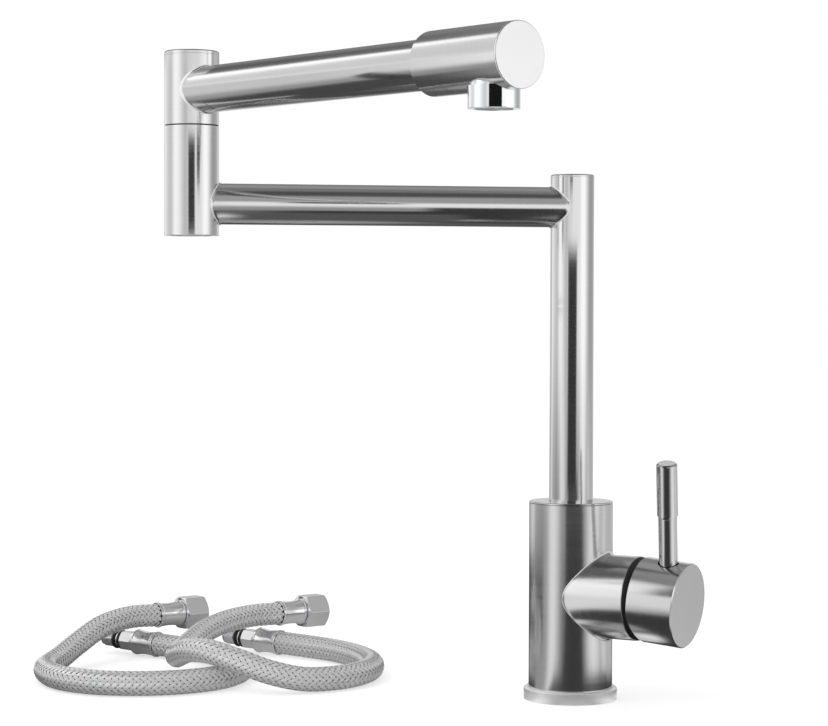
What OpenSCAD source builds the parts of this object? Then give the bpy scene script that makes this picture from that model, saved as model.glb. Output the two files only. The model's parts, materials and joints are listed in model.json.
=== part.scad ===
// Kitchen mixer faucet with a folding two-arm spout, a side lever and two loose supply hoses.
// The origin is on the deck at the column's axis, +Z is up and +X runs along the valve branch.

/* [Deck ring] */
// How far the deck ring stands out past the column, all round
ring_lip_w = 2.65; // [1.5:0.05:6]
// Height of the deck ring
ring_h = 7; // [5:0.5:12]
// Thickness of the ring's inner ledge that the column stands on
ring_ledge_t = 3; // [2.5:0.25:4]
// Width of that ledge
ring_ledge_w = 3; // [2:0.25:3.5]
// Width of the gasket under the ring
gasket_w = 2; // [1.5:0.1:2.5]
// Height of the gasket under the ring
gasket_h = 1.5; // [1:0.1:1.8]

/* [Column] */
// Outer diameter of the upright column
column_d = 46; // [46:0.5:54]
// Wall of the upright column
column_wall = 4; // [3.5:0.25:4.5]
// Height of the column's top face over the deck
column_top_z = 109.3; // [104:0.1:130]
// Thickness of the flange that closes the column's top
flange_t = 1; // [0.8:0.1:2]
// Height of the fine groove under that flange
flange_groove_h = 0.35; // [0.2:0.05:0.6]
// Length of the collar's stem inside the column
collar_stem = 8; // [6:0.5:9]
// Wall of the plastic bush in the collar
bush_wall = 1.9; // [1.2:0.1:2.5]

/* [Supply ports] */
// Distance from the branch-side port pair to the column's axis, along X
port_x = 6; // [5:0.25:7]
// Half the distance between the two supply ports
port_y = 8; // [7.5:0.25:8.5]
// Bore of the two threaded supply ports
port_thread_d = 9; // [8.5:0.1:9.4]
// Depth of the two threaded supply ports
port_depth = 9; // [7:0.5:10]
// Bore of the threaded hole for the fixing stud
stud_thread_d = 6.7; // [5:0.1:8.5]
// Distance from the column's axis to the stud hole
stud_x = 10; // [9:0.25:11]
// Depth of the stud hole
stud_depth = 11; // [8:0.5:12]
// Height of the plug that closes the column's foot, from the deck up
plug_h = 17; // [16:0.5:21]
// Outer diameter of the two inner feed tubes
feed_d = 8; // [7:0.1:8.4]
// Bore of the two inner feed tubes
feed_bore_d = 6.4; // [5:0.1:6.6]
// Depth of each feed tube's socket in the plug and in the valve block
feed_socket = 4; // [3:0.25:4.5]

/* [Valve branch] */
// Height of the branch's axis over the deck
branch_z = 57.9; // [52:0.1:62]
// Thickness of the branch's wall round its threaded mouth
branch_wall = 3.9; // [3:0.1:3.9]
// Distance from the column's axis to the face that the cartridge seats on
seat_x = 12; // [11:0.25:16]
// Diameter of the cartridge
cartridge_d = 34.6; // [34:0.1:36]
// Diameter of the threaded mouth that takes the cartridge nut
mouth_d = 38; // [37:0.1:38]
// Thickness of the cartridge nut
nut_t = 4.4; // [3:0.2:6]
// How far the nut's face lies behind the branch's end
nut_recess = 0.6; // [0.3:0.1:1.5]

/* [Cartridge] */
// Thickness of the cartridge's ported base
cart_base_t = 6; // [5:0.25:8]
// Thickness of the fixed ceramic disc
fixed_disc_t = 3.4; // [2.5:0.1:4]
// Thickness of the sliding ceramic disc
moving_disc_t = 2.6; // [2:0.1:3]
// Diameter of the sliding ceramic disc
moving_disc_d = 22; // [20:0.25:22.5]
// Length of the cartridge's shell from its base to its shoulder
shell_len = 19; // [18.5:0.25:22]
// Wall of the cartridge's shell
shell_wall = 2.2; // [1.8:0.1:2.4]
// Thickness of the shell's shoulder
shoulder_t = 1.7; // [1.2:0.1:2.2]
// Length of the shell's collar past its shoulder
collar_len = 6.5; // [5:0.25:8]
// Outer diameter of the shell's collar
collar_d = 21; // [20:0.25:23]
// Diameter of the rotor's neck
neck_d = 15.2; // [14.8:0.1:16]
// Length of the rotor's neck past the shell's shoulder
neck_len = 12; // [11:0.25:13]
// Distance from the shell's shoulder to the lever's pivot
pivot_off = 8; // [7:0.25:8.5]
// Distance from the pivot to the ball that moves the disc
ball_arm = 15.5; // [15:0.1:16]
// Diameter of that ball
ball_d = 6; // [5.6:0.1:6.4]
// Diameter of the spindle between the ball and the pivot
spindle_d = 5; // [4:0.1:5.2]
// Diameter of the pivot pin
pivot_pin_d = 2.6; // [2:0.1:2.8]
// Length of the disc carrier along its slide
carrier_l = 14; // [13:0.25:14.5]
// Width of the disc carrier
carrier_w = 11; // [10:0.25:11.5]

/* [Handle] */
// Angle at which the handle stands open at rest, from its closed stop
rest_tilt = 5; // [0:0.5:8]
// Whole angle that the handle tilts through
tilt_travel = 18; // [16:0.5:19]
// Angle at which the lever is turned about the branch at rest, towards the viewer
lever_roll = 13.7; // [-40:0.1:40]
// Gap between the branch's end and the handle cap
cap_gap = 2.3; // [1.8:0.1:3.5]
// Length of the handle cap
cap_len = 26.1; // [25.5:0.1:32]
// Side wall of the handle cap
cap_wall = 3.5; // [3:0.1:3.7]
// End wall of the handle cap
cap_end_t = 3.5; // [2.5:0.1:4]
// Distance from the lever's axis to the cap's end face
lever_inset = 11; // [10.5:0.1:12]
// Diameter of the boss inside the cap
boss_d = 19; // [17:0.25:20]
// Side of the spindle's square end
spindle_sq = 7.9; // [7:0.1:8.5]
// Diameter of the lever's lower rod
rod_d = 10; // [8:0.1:11]
// Diameter of the lever's thicker grip
grip_d = 11.2; // [9:0.1:14]
// Height of the step between rod and grip over the branch's axis
grip_from = 49; // [40:0.5:60]
// Height of the lever's top over the branch's axis
lever_top = 79.3; // [70:0.1:110]
// Height of the cone between rod and grip
step_h = 1.2; // [0.6:0.1:3]
// Clearance round the rod where it enters the cap
rod_gap = 0.7; // [0.4:0.1:1]
// Diameter of the lever's threaded end and of the handle's set screw
lever_thread_d = 5; // [4:0.1:6]

/* [Riser] */
// Outer diameter of the riser
riser_d = 24; // [22.5:0.1:25]
// Wall of the riser
riser_wall = 1.5; // [1.2:0.1:2]
// Height of the riser's top over the deck
riser_top_z = 288.3; // [260:0.1:360]
// Thickness of the cap that closes the riser
riser_cap_t = 1.5; // [1.5:0.1:3]
// How far the riser's foot reaches down into the valve block
spigot_len = 20.5; // [18:0.25:22]
// Thickness of an O-ring's cord
oring_t = 1.8; // [1.5:0.1:2]
// Depth of the groove that the swivel screw runs in
screw_groove = 1.7; // [1.2:0.1:2]
// Diameter of the swivel screw
swivel_screw_d = 6; // [5:0.1:7]

/* [Lower arm] */
// Outer diameter of the lower arm
arm_d = 22; // [18:0.1:22.5]
// Wall of the lower arm
arm_wall = 1.5; // [1.2:0.1:2]
// Distance from the riser's axis to the hinge's axis
arm_len = 208.6; // [150:0.1:260]
// Distance from the riser's top down to the arm's axis
arm_drop = 17.8; // [15:0.1:30]
// Direction of the lower arm at rest, about the column
arm_azimuth = 220.5; // [0:0.5:359]

/* [Hinge] */
// Outer diameter of both hinge sleeves
hinge_d = 29.2; // [29:0.1:32]
// Wall of both hinge sleeves
hinge_wall = 3.1; // [2.5:0.1:3.2]
// Distance from the arm's axis down to the lower sleeve's foot
hinge_foot = 17.1; // [16.8:0.1:24]
// Distance from the arm's axis up to the seam between the sleeves
hinge_seam = 41.5; // [38:0.1:50]
// Thickness of the washer in the seam
hinge_washer_t = 0.5; // [0.4:0.05:1]
// Diameter of the water windows in the sleeves
window_d = 14; // [10:0.5:14]
// Thickness of the sleeve's inner lip that holds the hinge shaft
hinge_lip_t = 4.5; // [4:0.1:4.6]
// Thickness of the nut under that lip
hinge_nut_t = 2.9; // [2.4:0.1:3.1]
// Size of that nut across its flats
hinge_nut_af = 17; // [15:0.5:19]
// Length of the hinge shaft's upper bearing
bearing_l = 23; // [18:0.5:24]
// Diameter of the shaft where it passes the lip
journal_d = 16; // [14:0.1:17]
// Bore of the hinge shaft
shaft_bore_d = 9; // [7:0.1:9.4]

/* [Spout arm] */
// Outer diameter of the upper arm
spout_d = 24.6; // [20:0.1:25]
// Wall of the upper arm
spout_wall = 1.5; // [1.2:0.1:2]
// Distance from the seam up to the upper arm's axis
spout_rise = 18.5; // [16:0.1:26]
// Distance from the upper arm's axis up to the hinge's top
hinge_head = 21.1; // [17:0.1:30]
// Distance from the hinge's axis to the head's end face
spout_len = 253.4; // [180:0.1:320]
// Angle between the two arms at rest
fold_angle = 121.8; // [0:0.1:180]

/* [Head] */
// Outer diameter of the spout's head
head_d = 31.2; // [30:0.1:36]
// Length of the spout's head with its end disc
head_len = 58.8; // [54:0.1:80]
// Thickness of the end disc's rim
head_cap_t = 1; // [0.8:0.1:2]
// Length of arm that sits inside the head
head_socket = 15; // [10:0.5:18]
// Bore of the head between the arm and the outlet
head_bore_d = 12; // [8:0.5:12]
// Distance from the outlet's axis to the head's end face
outlet_inset = 17.4; // [16:0.1:22]
// Diameter of the polished aerator ring
aerator_d = 24.4; // [24:0.1:26]
// How far the aerator ring stands out under the head
aerator_drop = 8.1; // [5:0.1:14]
// Diameter of the aerator's threaded neck
aerator_thread_d = 21.9; // [21.6:0.1:22.4]
// Length of the aerator's threaded neck
aerator_thread_l = 4; // [3:0.1:4.4]
// Wall of the aerator ring
aerator_wall = 1.9; // [1.6:0.1:2]
// Clearance round the aerator ring where it enters the head
aerator_gap = 0.4; // [0.3:0.05:0.6]

/* [Supply hoses] */
// Outer diameter of the braided hoses
hose_d = 14; // [12:0.5:14]
// Outer diameter of the crimped ferrules
ferrule_d = 15.6; // [15:0.1:15.8]
// Length of the crimped ferrules
ferrule_l = 17; // [12:0.5:20]
// Size of the union nut across its flats
union_af = 19; // [18:0.5:19.5]
// Length of the union nut
union_l = 15.6; // [13:0.1:18]
// Bore of the union nut's thread
union_thread_d = 15.2; // [14.6:0.1:16]
// Length of the union nut's thread
union_thread_l = 9; // [7:0.5:10]
// Size of the connector's hexagon across its flats
connector_af = 11; // [10:0.5:13]
// Length of that hexagon
connector_hex_l = 9; // [6:0.5:10]
// Diameter of the connector's threaded end
connector_thread_d = 9.9; // [9.6:0.1:10]
// Length of the connector's threaded end
connector_thread_l = 8.5; // [6:0.5:10]

/* [Hidden] */
$fn = 96;

// Clearances: a seated pair, a running pair, and two moving faces that never touch
seat = 0.05;
run = 0.05;
free = 0.3;
// A cut that runs past a face, and the small chamfer on turned edges
past = 1;
edge = 0.5;

steel = [0.74, 0.74, 0.75];
satin = [0.66, 0.66, 0.66];
bright = [0.86, 0.87, 0.88];
black = [0.06, 0.06, 0.06];
white_plastic = [0.88, 0.88, 0.86];
grey_plastic = [0.45, 0.46, 0.48];
ceramic = [0.93, 0.91, 0.86];
brass = [0.78, 0.62, 0.34];
braid = [0.62, 0.63, 0.65];

// Column and its inner pieces
ring_d = column_d + 2 * ring_lip_w;
column_bore_d = column_d - 2 * column_wall;
insert_d = column_bore_d - 2 * seat;
shell_top_z = column_top_z - flange_t - flange_groove_h;
collar_z = shell_top_z - collar_stem;
block_top_z = collar_z - 0.2;
bush_bore_d = riser_d + 2 * run;
bush_d = riser_d + 2 * bush_wall;
cartridge_bore_d = cartridge_d + 0.4;
branch_d = mouth_d + 2 * branch_wall;
feed_top_z = branch_z - 15.9 + feed_socket;
supply_z = branch_z - 3.9;
way_d = feed_bore_d - 0.4;
outlet_z = branch_z + 9;
outlet_port_d = 8;
outlet_bore_d = 12;

// Riser foot
spigot_d = riser_d - 2;
socket_d = spigot_d + 2 * run;
spigot_z = block_top_z + free - spigot_len;
socket_z = spigot_z - free;
riser_foot_z = block_top_z + free;
riser_bore_d = riser_d - 2 * riser_wall;
spigot_bore_d = 13;
oring_grooves_z = [spigot_z + 4, block_top_z - 4];
screw_z = (oring_grooves_z[0] + oring_grooves_z[1]) / 2;
screw_tip_d = 2.8;
groove_w = oring_t + 0.6;

// Cartridge stations along the branch
fixed_disc_x = seat_x + cart_base_t;
moving_disc_x = fixed_disc_x + fixed_disc_t + run;
carrier_x = moving_disc_x + moving_disc_t;
shoulder_x = fixed_disc_x + shell_len;
nut_end_x = shoulder_x + nut_t;
branch_end_x = nut_end_x + nut_recess;
mouth_relief = 3;
pivot_x = shoulder_x + pivot_off;
ball_cover = 1.5;
ball_flat = 0.2;
carrier_end_x = pivot_x - ball_arm + ball_cover;
shell_bore_d = cartridge_d - 2 * shell_wall;
rotor_d = shell_bore_d - 4 * run;
rotor_x = carrier_x + 0.35;
rotor_end_x = shoulder_x - shoulder_t - free;
neck_bore_d = neck_d + 4 * run;
slot_w = spindle_d + 2 * free + 0.1;
disc_shift = 1.5;
disc_travel = ball_arm * tilt_travel * PI / 180;
disc_rest = ball_arm * sin(rest_tilt);

// Handle stations, from the pivot along the cap's axis
cap_back = branch_end_x + cap_gap - pivot_x;
cap_end = cap_back + cap_len;
cap_inner = cap_end - cap_end_t;
lever_x = cap_end - lever_inset;
boss_back = lever_x - 4.8;
cap_cavity_d = branch_d - 2 * cap_wall;
wedge_from = 1.5;
wedge_x = (branch_d / 2 * sin(tilt_travel) + branch_end_x + free - pivot_x) / cos(tilt_travel);
square_from = neck_len - pivot_off + 1.6;
square_to = cap_inner - 1;

// Spout
arm_z = riser_top_z - arm_drop;
hinge_foot_z = arm_z - hinge_foot;
seam_z = arm_z + hinge_seam;
spout_z = seam_z + spout_rise;
hinge_top_z = spout_z + hinge_head;
hinge_bore_d = hinge_d - 2 * hinge_wall;
shaft_d = hinge_bore_d - 2 * run;
sleeve_plug_t = 1.2;
lip_z = hinge_foot_z + 0.3 + sleeve_plug_t + 0.3 + hinge_nut_t + free;
lip_top_z = lip_z + hinge_lip_t;
upper_sleeve_z = seam_z + free;
washer_z = upper_sleeve_z - 2 * run - hinge_washer_t;
shaft_top_z = spout_z - window_d / 2 - 1;
waist_d = shaft_bore_d + 5;
stub_d = 11;
bearing_z = washer_z - bearing_l;
hinge_grooves_z = [lip_z + hinge_lip_t / 2, bearing_z + 5, washer_z - 4];
hinge_cap_t = 2;
spout_azimuth = arm_azimuth + fold_angle;
head_from = spout_len - head_len;
outlet_s = spout_len - outlet_inset;
ring_shoulder_z = -head_d / 2 + 2.5;
ring_foot_z = -head_d / 2 - aerator_drop;
aerator_bore_d = aerator_d - 2 * aerator_wall;
washer_t = 1.5;

// Hoses: where the pair lies, and the two routes, from the connector's end to the nut's end
hose_at = [-245, -60, 0];
hose_turn = 33.7;
hose_b_shift = [75, 6, 0];
hose_plan = [
    [1, 72], [17, 60], [32, 46], [44, 27], [52, 6], [55, -13], [53, -32], [45, -50], [32, -63],
    [15, -71], [-3, -73], [-21, -70], [-37, -61], [-49, -47], [-56, -29], [-58, -11], [-53, 10],
    [-44, 31], [-32, 51], [-17, 70], [-1, 81]
];
hose_a_rise = [8, 7.5, 7.2, 7.2, 7.2, 7.2, 7.2, 7.2, 7.2, 7.2, 7.2, 7.2, 7.2, 7.2, 7.2, 7.2, 9, 15, 22, 25, 25];
hose_b_rise = [8, 7.5, 7.2, 7.2, 7.2, 7.2, 7.2, 7.2, 7.2, 8, 12, 18, 22, 21, 16, 13, 16, 21, 24, 25, 25];
hose_bore_d = 8;
hose_sides = 12;
hose_steps = 2;
hose_mid = len(hose_plan) - 1;
connector_l = 26;
union_end = ferrule_l + union_l;
nut_washer_t = 1.5;
nut_relief_s = union_end - union_thread_l;
nut_washer_s = nut_relief_s - free - nut_washer_t;
tail_flange_s = nut_washer_s - 1.4;
nut_floor_s = tail_flange_s - 0.2;

function unit(v) = v / norm(v);
function route(rise) = [for (i = [0:hose_mid]) [hose_plan[i][0], hose_plan[i][1], rise[i]]];
// A point before the first or after the last one mirrors its neighbour, so the ends run straight
function knot(p, i) = i < 0 ? 2 * p[0] - p[1] : i > hose_mid ? 2 * p[hose_mid] - p[hose_mid - 1] : p[i];
function spline(a, b, c, d, t) =
    0.5 * (2 * b + (c - a) * t + (2 * a - 5 * b + 4 * c - d) * t * t + (3 * b - a - 3 * c + d) * t * t * t);
function swept(p) = [
    for (i = [0:hose_mid - 1], s = [0:hose_steps - 1])
        spline(knot(p, i - 1), p[i], p[i + 1], knot(p, i + 2), s / hose_steps),
    p[hose_mid]
];
// The tube's end faces stand square to the pieces crimped on them
function heading(p, q, i) =
    i == 0 ? unit(p[1] - p[0]) : i == len(q) - 1 ? unit(p[hose_mid] - p[hose_mid - 1]) : unit(q[i + 1] - q[i - 1]);

// Turned pieces, ends at two stations
module bar(from, to, d) {
    translate([0, 0, from]) cylinder(h = to - from, d = d);
}
module sleeve(from, to, d, bore) {
    difference() {
        bar(from, to, d);
        bar(from - past, to + past, bore);
    }
}
// A bar whose upper edge is chamfered
module topped_bar(from, to, d, c = edge) {
    bar(from, to - c, d);
    translate([0, 0, to - c]) cylinder(h = c, d1 = d, d2 = d - 2 * c);
}
module oring(d, z) {
    translate([0, 0, z]) rotate_extrude() translate([(d - oring_t) / 2, 0]) circle(d = oring_t, $fn = 32);
}
module hex_bar(from, to, af) {
    translate([0, 0, from]) cylinder(h = to - from, d = af / cos(30), $fn = 6);
}

// Frames: along the branch, rolled with the lever, tilted with the handle, at the hinge, along the arms
module along_x() {
    rotate([0, 90, 0]) children();
}
module at_branch() {
    translate([0, 0, branch_z]) children();
}
module at_roll() {
    at_branch() rotate([lever_roll, 0, 0]) children();
}
module at_handle() {
    at_roll() translate([pivot_x, 0, 0]) rotate([0, rest_tilt, 0]) children();
}
module at_hinge() {
    rotate([0, 0, arm_azimuth]) translate([arm_len, 0, 0]) rotate([0, 0, -arm_azimuth]) children();
}
module on_lower_arm() {
    rotate([0, 0, arm_azimuth]) translate([0, 0, arm_z]) children();
}
module on_upper_arm() {
    at_hinge() rotate([0, 0, spout_azimuth]) translate([0, 0, spout_z]) children();
}
module at_ports() {
    for (side = [-1, 1]) translate([port_x, side * port_y, 0]) children();
}

// Fixed pieces of the column
module base_ring() {
    color(satin) difference() {
        topped_bar(0, ring_h, ring_d, 0.8);
        bar(ring_ledge_t, ring_h + past, column_d + 2 * seat);
        bar(-past, ring_h, column_d - 2 * ring_ledge_w);
        difference() {
            bar(-past, gasket_h, column_d);
            bar(-2 * past, ring_h, column_d - 2 * gasket_w);
        }
    }
}

module base_gasket() {
    color(black) sleeve(0, gasket_h - seat, column_d - 2 * seat, column_d - 2 * gasket_w + 2 * seat);
}

module column_tube() {
    color(steel) difference() {
        sleeve(ring_ledge_t, shell_top_z, column_d, column_bore_d);
        at_branch() along_x() bar(0, column_d, cartridge_bore_d);
        translate([-column_d, 0, screw_z]) along_x() bar(0, column_d, swivel_screw_d + 2 * seat);
    }
}

// The branch is mitred to the column that it is welded to
module branch_tube() {
    color(steel) difference() {
        at_branch() along_x() bar(0, branch_end_x, branch_d);
        bar(0, column_top_z, column_d);
        at_branch() along_x() bar(0, branch_end_x, cartridge_bore_d);
        at_branch() along_x() bar(shoulder_x - mouth_relief, branch_end_x + past, mouth_d);
    }
}

module base_plug() {
    color(brass) difference() {
        bar(0, plug_h, insert_d);
        at_ports() {
            bar(-past, port_depth, port_thread_d);
            bar(0, plug_h, feed_bore_d);
            bar(plug_h - feed_socket, plug_h + past, feed_d + 2 * seat);
        }
        translate([-stud_x, 0, 0]) bar(-past, stud_depth, stud_thread_d);
    }
}

module feed_tubes() {
    color(brass) at_ports() sleeve(plug_h - feed_socket, feed_top_z, feed_d, feed_bore_d);
}

module valve_block() {
    color(brass) difference() {
        union() {
            difference() {
                bar(branch_z + 2, block_top_z, insert_d);
                translate([seat_x, -column_d / 2, 0]) cube([column_d, column_d, branch_z + branch_d / 2 - 2]);
            }
            intersection() {
                at_branch() along_x() bar(-14, seat_x, cartridge_bore_d - 2 * seat);
                union() {
                    bar(0, column_top_z, insert_d);
                    translate([0, -column_d / 2, 0]) cube([column_d, column_d, column_top_z]);
                }
            }
        }
        bar(socket_z, block_top_z + past, socket_d);
        bar(outlet_z - outlet_port_d / 2, block_top_z, outlet_bore_d);
        translate([0, 0, outlet_z]) along_x() bar(0, seat_x + past, outlet_port_d);
        at_ports() bar(0, feed_top_z, feed_d + 2 * seat);
        at_ports() bar(0, supply_z + way_d / 2, way_d);
        for (side = [-1, 1]) translate([0, side * port_y, supply_z]) along_x() {
            bar(port_x - way_d / 2, seat_x + past, feed_bore_d);
        }
        translate([-column_d, 0, screw_z]) along_x() bar(0, column_d, swivel_screw_d + 2 * seat);
    }
}

module top_collar() {
    color(steel) difference() {
        union() {
            bar(collar_z, column_top_z, insert_d);
            bar(shell_top_z, column_top_z, column_d - 2 * flange_groove_h);
            topped_bar(shell_top_z + flange_groove_h, column_top_z, column_d, 0.3);
        }
        bar(collar_z - past, column_top_z + past, riser_d + 2 * free);
        bar(collar_z - past, shell_top_z, bush_d + 2 * seat);
    }
}

module riser_bush() {
    color(white_plastic) sleeve(collar_z, shell_top_z - seat, bush_d, bush_bore_d);
}

module swivel_screw() {
    color(steel) translate([0, 0, screw_z]) mirror([1, 0, 0]) along_x() difference() {
        union() {
            bar(spigot_d / 2 + 0.8, column_d / 2 - 1, swivel_screw_d);
            bar(spigot_d / 2 - screw_groove + free, spigot_d / 2 + 1, screw_tip_d);
        }
        hex_bar(column_d / 2 - 4, column_d / 2, 3);
    }
}

// Pieces of the cartridge that stay still
module ports() {
    for (side = [-1, 1]) translate([0, side * port_y, supply_z - branch_z]) along_x() children(0);
    translate([0, 0, outlet_z - branch_z]) along_x() children(1);
}

module cartridge_base() {
    color(grey_plastic) at_branch() difference() {
        along_x() bar(seat_x, fixed_disc_x, cartridge_d);
        ports() {
            bar(seat_x - past, fixed_disc_x + past, feed_bore_d);
            bar(seat_x - past, fixed_disc_x + past, outlet_port_d);
        }
        ports() {
            bar(seat_x - past, seat_x + 1, feed_bore_d + 3);
            bar(seat_x - past, seat_x + 1, outlet_port_d + 3);
        }
    }
}

module port_seals() {
    color(black) at_branch() ports() {
        sleeve(seat_x, seat_x + 1, feed_bore_d + 3 - 2 * seat, feed_bore_d);
        sleeve(seat_x, seat_x + 1, outlet_port_d + 3 - 2 * seat, outlet_port_d);
    }
}

module fixed_disc() {
    color(ceramic) at_branch() difference() {
        along_x() bar(fixed_disc_x, fixed_disc_x + fixed_disc_t, shell_bore_d - 2 * seat);
        ports() {
            bar(fixed_disc_x - past, moving_disc_x + past, feed_bore_d - 0.4);
            bar(fixed_disc_x - past, moving_disc_x + past, outlet_port_d);
        }
    }
}

module cartridge_shell() {
    color(grey_plastic) at_branch() along_x() difference() {
        union() {
            bar(fixed_disc_x, shoulder_x, cartridge_d);
            bar(fixed_disc_x, shoulder_x + collar_len, collar_d);
        }
        bar(fixed_disc_x - past, shoulder_x - shoulder_t, shell_bore_d);
        bar(fixed_disc_x, shoulder_x + collar_len + past, neck_bore_d);
    }
}

module cartridge_nut() {
    color(brass) at_branch() along_x() difference() {
        bar(shoulder_x, nut_end_x, mouth_d - 2 * seat);
        bar(shoulder_x - past, nut_end_x + past, collar_d + 2 * seat + 0.2);
        for (turn = [0:60:300]) rotate([0, 0, turn]) translate([mouth_d / 2 - 4, 0, 0]) {
            bar(nut_end_x - 2.5, nut_end_x + past, 3);
        }
    }
}

// A thin dome that hides the nut inside the handle's gap
module cover_ring() {
    rim_r = (mouth_d - 1) / 2;
    inner_r = collar_d / 2 + 0.2;
    color(black) at_branch() along_x() rotate_extrude() translate([0, nut_end_x]) polygon([
        [rim_r, 0], [rim_r, 1.8], [rim_r - 3.2, 4.4], [inner_r, 4.8],
        [inner_r, 3.8], [rim_r - 3.8, 3.4], [rim_r - 1.2, 1.4], [rim_r - 1.2, 0]
    ]);
}

// Pieces that turn with the lever
module cartridge_rotor() {
    pocket_from = -carrier_l / 2 - free;
    pocket_to = carrier_l / 2 + disc_travel + free;
    slot_from = -spindle_d / 2 - 1.7;
    color(white_plastic) at_roll() difference() {
        along_x() union() {
            bar(rotor_x, rotor_end_x, rotor_d);
            bar(rotor_x, shoulder_x + neck_len, neck_d);
        }
        translate([rotor_x - past, -carrier_w / 2 - run, pocket_from]) {
            cube([carrier_end_x + free + past - rotor_x, carrier_w + 2 * run, pocket_to - pocket_from]);
        }
        translate([rotor_x, -slot_w / 2, slot_from]) {
            cube([rotor_end_x - rotor_x, slot_w, spindle_d / 2 + 5.3 - slot_from]);
        }
        translate([rotor_x, -slot_w / 2, slot_from]) {
            cube([shoulder_x + neck_len + past - rotor_x, slot_w, spindle_d / 2 + 3.8 - slot_from]);
        }
        translate([pivot_x, -neck_d, 0]) rotate([-90, 0, 0]) bar(0, 2 * neck_d, pivot_pin_d + 2 * seat);
    }
}

module pivot_pin() {
    color(steel) at_roll() translate([pivot_x, 0, 0]) rotate([-90, 0, 0]) {
        bar(-neck_d / 2 + 0.4, neck_d / 2 - 0.4, pivot_pin_d);
    }
}

module moving_disc() {
    color(ceramic) at_roll() translate([0, 0, disc_rest - disc_shift]) along_x() difference() {
        bar(moving_disc_x, carrier_x, moving_disc_d);
        bar(moving_disc_x - past, moving_disc_x + 1.4, moving_disc_d - 7);
    }
}

module disc_carrier() {
    color(white_plastic) at_roll() translate([0, 0, disc_rest]) difference() {
        translate([carrier_x, -carrier_w / 2, -carrier_l / 2]) {
            cube([carrier_end_x - carrier_x, carrier_w, carrier_l]);
        }
        along_x() bar(carrier_end_x - ball_cover - ball_d / 2 - 1.2, carrier_end_x + past, ball_d + 0.5);
    }
}

// Pieces that tilt with the lever
module cartridge_spindle() {
    color(steel) at_handle() difference() {
        union() {
            along_x() intersection() {
                translate([0, 0, -ball_arm]) sphere(d = ball_d);
                bar(-ball_arm - ball_d / 2 + ball_flat, 0, 2 * ball_d);
            }
            along_x() bar(-ball_arm, square_from + edge, spindle_d);
            translate([square_from, -spindle_sq / 2, -spindle_sq / 2]) {
                cube([square_to - square_from, spindle_sq, spindle_sq]);
            }
        }
        translate([0, -spindle_d, 0]) rotate([-90, 0, 0]) bar(0, 2 * spindle_d, pivot_pin_d + 2 * run);
    }
}

module handle_cap() {
    color(steel) at_handle() difference() {
        along_x() topped_bar(cap_back, cap_end, branch_d, 0.3);
        difference() {
            along_x() bar(cap_back - past, cap_inner, cap_cavity_d);
            along_x() bar(boss_back, cap_end, boss_d);
        }
        translate([boss_back - past, -spindle_sq / 2 - seat, -spindle_sq / 2 - seat]) {
            cube([square_to - boss_back + past, spindle_sq + 2 * seat, spindle_sq + 2 * seat]);
        }
        translate([lever_x, 0, 0]) {
            bar(boss_d / 2 + 0.1, branch_d, rod_d + 2 * rod_gap);
            bar(0, branch_d / 2, lever_thread_d + 2 * seat);
            bar(-branch_d, 0, lever_thread_d + 2 * seat);
        }
        rotate([90, 0, 0]) translate([0, 0, -branch_d]) linear_extrude(2 * branch_d) polygon([
            [cap_back - past, -wedge_from], [cap_back, -wedge_from], [wedge_x, -branch_d / 2],
            [wedge_x, -branch_d], [cap_back - past, -branch_d]
        ]);
    }
}

module lever_rod() {
    color(steel) at_handle() translate([lever_x, 0, 0]) {
        bar(spindle_sq / 2 + 0.2, boss_d / 2 + 1, lever_thread_d);
        bar(boss_d / 2 + 0.3, grip_from, rod_d);
        translate([0, 0, grip_from]) cylinder(h = step_h, d1 = rod_d, d2 = grip_d);
        topped_bar(grip_from + step_h, lever_top, grip_d, 0.9);
    }
}

module handle_screw() {
    color(steel) at_handle() translate([lever_x, 0, 0]) difference() {
        bar(-boss_d / 2, -spindle_sq / 2 - 0.1, lever_thread_d);
        hex_bar(-boss_d / 2 - past, -boss_d / 2 + 2.5, 2.5);
    }
}

// Riser and lower arm
module riser_tube() {
    color(steel) difference() {
        sleeve(riser_foot_z, riser_top_z - riser_cap_t, riser_d, riser_bore_d);
        on_lower_arm() along_x() bar(0, riser_d, arm_d - 2 * arm_wall);
    }
}

module riser_spigot() {
    color(brass) difference() {
        union() {
            bar(spigot_z, riser_foot_z, spigot_d);
            bar(riser_foot_z - past, riser_foot_z + 12, riser_bore_d - 2 * seat);
        }
        bar(spigot_z - past, riser_foot_z + 12 + past, spigot_bore_d);
        for (z = oring_grooves_z) {
            translate([0, 0, z - groove_w / 2]) sleeve(0, groove_w, spigot_d + 2, spigot_d - 2 * oring_t);
        }
        translate([0, 0, screw_z - screw_tip_d / 2 - free]) {
            sleeve(0, screw_tip_d + 2 * free, spigot_d + 2, spigot_d - 2 * screw_groove);
        }
    }
}

module riser_orings() {
    color(black) for (z = oring_grooves_z) oring(spigot_d, z);
}

module riser_cap() {
    color(steel) {
        topped_bar(riser_top_z - riser_cap_t, riser_top_z, riser_d, 1.2);
        bar(riser_top_z - riser_cap_t - 4, riser_top_z - riser_cap_t, riser_bore_d - 2 * seat);
    }
}

module lower_arm() {
    color(steel) difference() {
        on_lower_arm() along_x() sleeve(0, arm_len, arm_d, arm_d - 2 * arm_wall);
        bar(0, riser_top_z, riser_d);
        at_hinge() bar(0, hinge_top_z, hinge_d);
    }
}

module lower_sleeve() {
    color(steel) difference() {
        at_hinge() difference() {
            bar(hinge_foot_z, washer_z, hinge_d);
            bar(hinge_foot_z - past, lip_z, hinge_bore_d);
            bar(lip_top_z, seam_z + past, hinge_bore_d);
            bar(hinge_foot_z, seam_z, journal_d + 2 * run);
        }
        on_lower_arm() along_x() bar(arm_len - hinge_d, arm_len, window_d);
    }
}

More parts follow.
